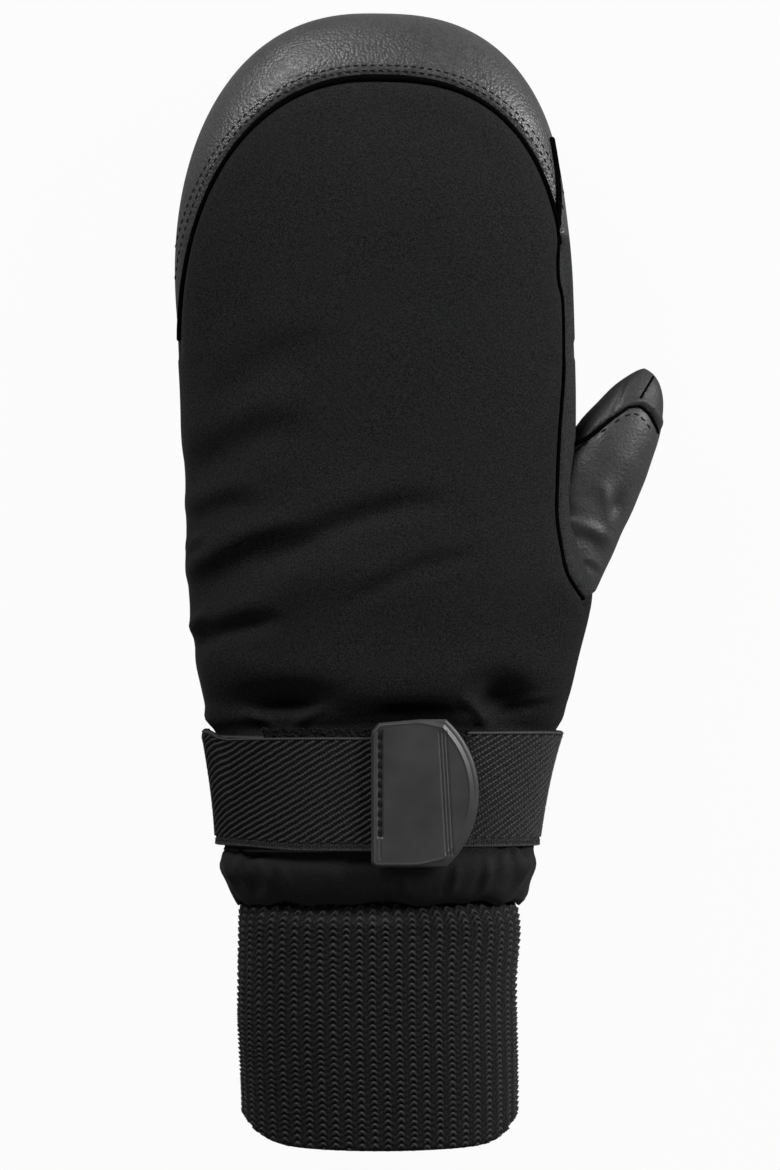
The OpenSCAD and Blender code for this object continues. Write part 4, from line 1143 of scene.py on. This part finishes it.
dense = np.linspace(0, 2 * math.pi, 4001)
line = cuff_ring(0 * dense, dense, 0, 0)
size = np.concatenate([[0], np.cumsum(np.linalg.norm(np.diff(line, axis=0), axis=1))])
K_COLS = PAIRS * PAIR_COLS
k_turn = np.interp(np.arange(K_COLS) / K_COLS * size[-1], size, dense)
phase = (np.arange(K_COLS) / PAIR_COLS) % 1
k_long = np.arange(0, CUFF_LEN + TUCK_LEN + 1e-6, COURSE / COURSE_ROWS)
yy, ph = np.meshgrid(k_long, phase, indexing="ij")
col_turn = np.broadcast_to(k_turn, yy.shape)
pair_id = np.broadcast_to(np.arange(K_COLS) // PAIR_COLS, yy.shape)
jitter = rng.uniform(-0.3, 0.3, PAIRS)[pair_id]
wale = (ph - 0.36) / 0.36
on = np.abs(wale) < 1
course = yy / COURSE + jitter + 0.16 * np.sin(yy * 0.21 + pair_id * 2.4) + 0.1 * np.sin(yy * 0.53 + pair_id * 5.1)
slant = (course - 0.75 * np.abs(wale) ** 1.5) % 1
leg = 1.5 * smooth_step(0, 0.3, slant) * (1 - slant) ** 1.25
face_h = np.where(on, np.sqrt(np.clip(1.05 - wale ** 2, 0, 1)) * (0.08 + 1.1 * leg), 0)
purl = (ph - 0.86) / 0.15
bump = 0.5 * np.clip(1 - purl ** 2, 0, 1) * (0.15 + 0.85 * np.abs(np.sin(math.pi * (course + 0.25))))
knit_h = np.maximum(face_h, bump)


def cuff_surface(long, turn, d):
    y = LINER_Y - long
    lift = smooth_step(CUFF_LEN * 0.35 + TUCK_LEN, CUFF_LEN + TUCK_LEN, long)
    return cuff_ring(y, turn, d, lift)


def tucked(long, turn):
    """How far the cuff's upper end draws in under the shell"""
    return smooth_step(7.6, 4.6, long) + 3.0 * np.abs(np.sin(turn)) * smooth_step(11.5, 5.0, long)


def hem_round(long):
    """How far each face draws in at the folded hem"""
    t = np.clip((long - CUFF_LEN - TUCK_LEN + HEM_R) / HEM_R, 0, 1)
    return HEM_R * (1 - np.sqrt(np.clip(1 - t ** 2, 0, 1)))


def cuff_point(long, turn, h):
    """Outer face of the cuff; it turns in at the hem and slips under the shell at the wrist"""
    swell = 0.5 * hill(long - 40, 26)
    p = cuff_surface(long, turn, tucked(long, turn) + hem_round(long) - swell + 0.4)
    q = cuff_surface(long, turn + 0.01, 0) - cuff_surface(long, turn - 0.01, 0)
    out = unit(np.stack([q[..., 2], 0 * q[..., 0], -q[..., 0]], -1))
    return p + out * h[..., None]


cuff_out = cuff_point(yy, col_turn, KNIT_RELIEF * (knit_h - 0.6))
in_rows = k_long[::-1][::3]
iy, iph = np.meshgrid(in_rows, phase, indexing="ij")
i_turn = np.broadcast_to(k_turn, iy.shape)
rib = 0.5 + 0.5 * np.cos(2 * math.pi * (iph - 0.8))
cuff_in = cuff_surface(iy, i_turn, CUFF_WALL + tucked(iy, i_turn) - hem_round(iy) - 0.25 + 0.5 * (0.5 - rib))
rows_out, rows_in = len(k_long), len(in_rows)
faces = grid_faces(rows_out + rows_in, K_COLS, True)
ring_a = [(rows_out + rows_in - 1) * K_COLS + j for j in range(K_COLS)]
faces += [[ring_a[j], ring_a[(j + 1) % K_COLS], (j + 1) % K_COLS, j] for j in range(K_COLS)]
# the knit's height goes to the rise attribute, from which the material paints the crests light and the hollows dark
cuff = make("rib_knit_cuff", np.concatenate([cuff_out.reshape(-1, 3), cuff_in.reshape(-1, 3)]), faces, "knit",
            rise=np.concatenate([knit_h.ravel(), 0.4 * rib.ravel()]))
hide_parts("knit_cuff")
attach(cuff, "hand")

# ------------------------------------------------------------------ inner layers


def layer(name, place, ys, around, d_out, d_in, slot, node, body="hand", lump=0.0):
    """Closed shell between two depths of a surface, with a lumpy inner face"""
    yy, tt = np.meshgrid(ys, around, indexing="ij")
    closed = abs(around[-1] - around[0]) > 2 * math.pi * (1 - 1.5 / len(around))
    lumps = lump * np.sin(yy * 0.43 + 2 * tt) * np.sin(5 * tt + yy * 0.2)
    a, b = place(yy, tt, np.full(yy.shape, d_out)), place(yy, tt, d_in + lumps)
    n = yy.size
    rows, cols = yy.shape
    faces = grid_faces(rows, cols, closed)
    faces += [[v + n for v in f[::-1]] for f in grid_faces(rows, cols, closed)]
    ids = np.arange(n).reshape(rows, cols)
    faces += skirt(np.append(ids[0], ids[0, 0]) if closed else ids[0], n, False)
    faces += skirt(np.append(ids[-1], ids[-1, 0]) if closed else ids[-1], n, True)
    if not closed:
        faces += skirt(ids[:, 0], n, True) + skirt(ids[:, -1], n, False)
    points = np.concatenate([a.reshape(-1, 3), b.reshape(-1, 3)])
    piece = make(name, points, faces, slot)
    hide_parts(node)
    if body:
        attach(piece, body)
    return piece


def hand_inner(y, turn, d):
    """The hand's surface d below the outside, following the folds of the shell a little"""
    relief = shell_relief(y, turn) * (1 - 0.5 * smooth_step(2, 7, d))
    p = hand(y, turn) + hand_normal(y, turn) * (np.minimum(relief, 0.2) - d)[..., None]
    p[..., 2] = np.maximum(p[..., 2], REST_Z + d)
    return p


inner_y = np.concatenate([np.linspace(LINER_Y, KNUCKLE_Y, 60)[:-1],
                          KNUCKLE_Y + (DOME - 8) * np.sin(np.radians(np.linspace(0, 86, 26))) ** 0.8])
full = np.arange(96) * 2 * math.pi / 96
wad_a = layer("back_wadding", hand_inner, inner_y, np.linspace(0.004, math.pi - 0.004, 70), 2.7, 5.4, "insulation",
              "back_insulation", lump=0.15)
wad_b = layer("palm_wadding", hand_inner, inner_y, np.linspace(math.pi + 0.004, 2 * math.pi - 0.004, 70), 1.5, 5.4,
              "insulation", "palm_insulation", lump=0.15)
layer("membrane_film", hand_inner, inner_y, full, 5.7, 6.0, "membrane", "membrane")
fleece = layer("fleece_lining", hand_inner, inner_y, full, 6.1, 8.0, "fleece", "lining", lump=0.2)
layer("cuff_seam_binding", hand_inner, np.linspace(-WRIST_LEN + 0.4, LINER_Y, 8), full, 1.35, 2.0, "softshell",
      "cuff_seam_tape")


def thumb_inner(s, turn, d):
    p = thumb(s, turn) - thumb_normal(s, turn) * (d + 0 * s)[..., None]
    return thumb_world(p)


t_full = np.arange(64) * 2 * math.pi / 64
t_in = np.concatenate([np.linspace(9, 34, 18)[:-1], 34 + 21 * np.sin(np.radians(np.linspace(0, 84, 14)))])
for name, a, b, slot, node in (("thumb_wadding", 2.4, 3.1, "insulation", "thumb_insulation"),
                               ("thumb_fleece", 3.2, 4.6, "fleece", "thumb_lining")):
    piece = layer(name, thumb_inner, t_in, t_full, a, b, slot, node, body="thumb")
sleeve = layer("thumb_sleeve_fleece", thumb_inner, np.linspace(-2, 28, 24), t_full, 4.9, 5.5, "fleece", "thumb_sleeve",
               body=None)
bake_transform(sleeve)

# ------------------------------------------------------------------ palm patch
PATCH_W, PATCH_LEN, PATCH_Y, PATCH_R, PATCH_T = 54.0, 104.0, 22.0, 16.0, 1.4


def patch_outline(inset, count=44):
    r = PATCH_R - inset
    pts = []
    for sx, sy_, a0 in ((1, 1, 0), (-1, 1, 90), (-1, -1, 180), (1, -1, 270)):
        for a in np.radians(np.linspace(a0, a0 + 90, count // 4 + 1)):
            pts.append((sx * (PATCH_W / 2 - PATCH_R) + r * math.cos(a), PATCH_Y + sy_ * (PATCH_LEN / 2 - PATCH_R)
                        + r * math.sin(a)))
    return np.array(pts)


rings = [(6, 0.0), (1.0, 0.0), (0.35, 0.12), (0.0, 0.55), (0.0, PATCH_T - 0.3), (0.4, PATCH_T), (6, PATCH_T)]
stack = np.array([[(x, y, z) for x, y in patch_outline(i)] for i, z in rings])
n_out = stack.shape[1]
faces = grid_faces(len(rings), n_out, True)
faces += [list(range(n_out))[::-1], [(len(rings) - 1) * n_out + k for k in range(n_out)]]
patch = make("palm_patch_leather", stack.reshape(-1, 3), faces, "leather")
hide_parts("palm_patch")
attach(patch, "hand")
ox = patch_outline(2.0, 160)
px, py = even(np.append(ox[:, 0], ox[0, 0]), np.append(ox[:, 1], ox[0, 1]), 3.0)
ring_points = np.stack([px, py, np.full(len(px), 0.06)], 1)
patch_thread = stitches("patch_topstitch", ring_points, np.gradient(ring_points, axis=0),
                        np.repeat([[0, 0, -1.0]], len(px), 0), 2.1, 0.2)
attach(patch_thread, "hand")

# ------------------------------------------------------------------ floor and world
FLOOR_GLOW = 0.96  # share of white that the camera sees; the rest takes the shadow
floor_mesh = bpy.data.meshes.new("floor")
floor_mesh.from_pydata([(-4, -4, 0), (4, -4, 0), (4, 4, 0), (-4, 4, 0)], [], [(0, 1, 2, 3)])
floor = bpy.data.objects.new("floor", floor_mesh)
bpy.context.scene.collection.objects.link(floor)
floor_mat = bpy.data.materials.new("floor_white")
floor_mat.use_nodes = True
tree = floor_mat.node_tree
plain = tree.nodes["Principled BSDF"]
plain.inputs["Base Color"].default_value = (0.35, 0.35, 0.35, 1)
plain.inputs["Roughness"].default_value = 0.9
glow = tree.nodes.new("ShaderNodeEmission")
glow.inputs["Color"].default_value = (1, 1, 1, 1)
seen = tree.nodes.new("ShaderNodeLightPath")
share = tree.nodes.new("ShaderNodeMath")
share.operation = "MULTIPLY"
tree.links.new(seen.outputs["Is Camera Ray"], share.inputs[0])
share.inputs[1].default_value = FLOOR_GLOW
blend = tree.nodes.new("ShaderNodeMixShader")
tree.links.new(share.outputs[0], blend.inputs[0])
tree.links.new(plain.outputs[0], blend.inputs[1])
tree.links.new(glow.outputs[0], blend.inputs[2])
tree.links.new(blend.outputs[0], tree.nodes["Material Output"].inputs["Surface"])
floor_mesh.materials.append(floor_mat)

world = bpy.data.worlds.new("studio")
bpy.context.scene.world = world
world.use_nodes = True
tree = world.node_tree
sky = tree.nodes["Background"]
sky.inputs["Color"].default_value = (0.07, 0.071, 0.074, 1)
sky.inputs["Strength"].default_value = 1
white = tree.nodes.new("ShaderNodeBackground")
white.inputs["Color"].default_value = (1, 1, 1, 1)
seen = tree.nodes.new("ShaderNodeLightPath")
blend = tree.nodes.new("ShaderNodeMixShader")
tree.links.new(seen.outputs["Is Camera Ray"], blend.inputs[0])
tree.links.new(sky.outputs[0], blend.inputs[1])
tree.links.new(white.outputs[0], blend.inputs[2])
tree.links.new(blend.outputs[0], tree.nodes["World Output"].inputs["Surface"])
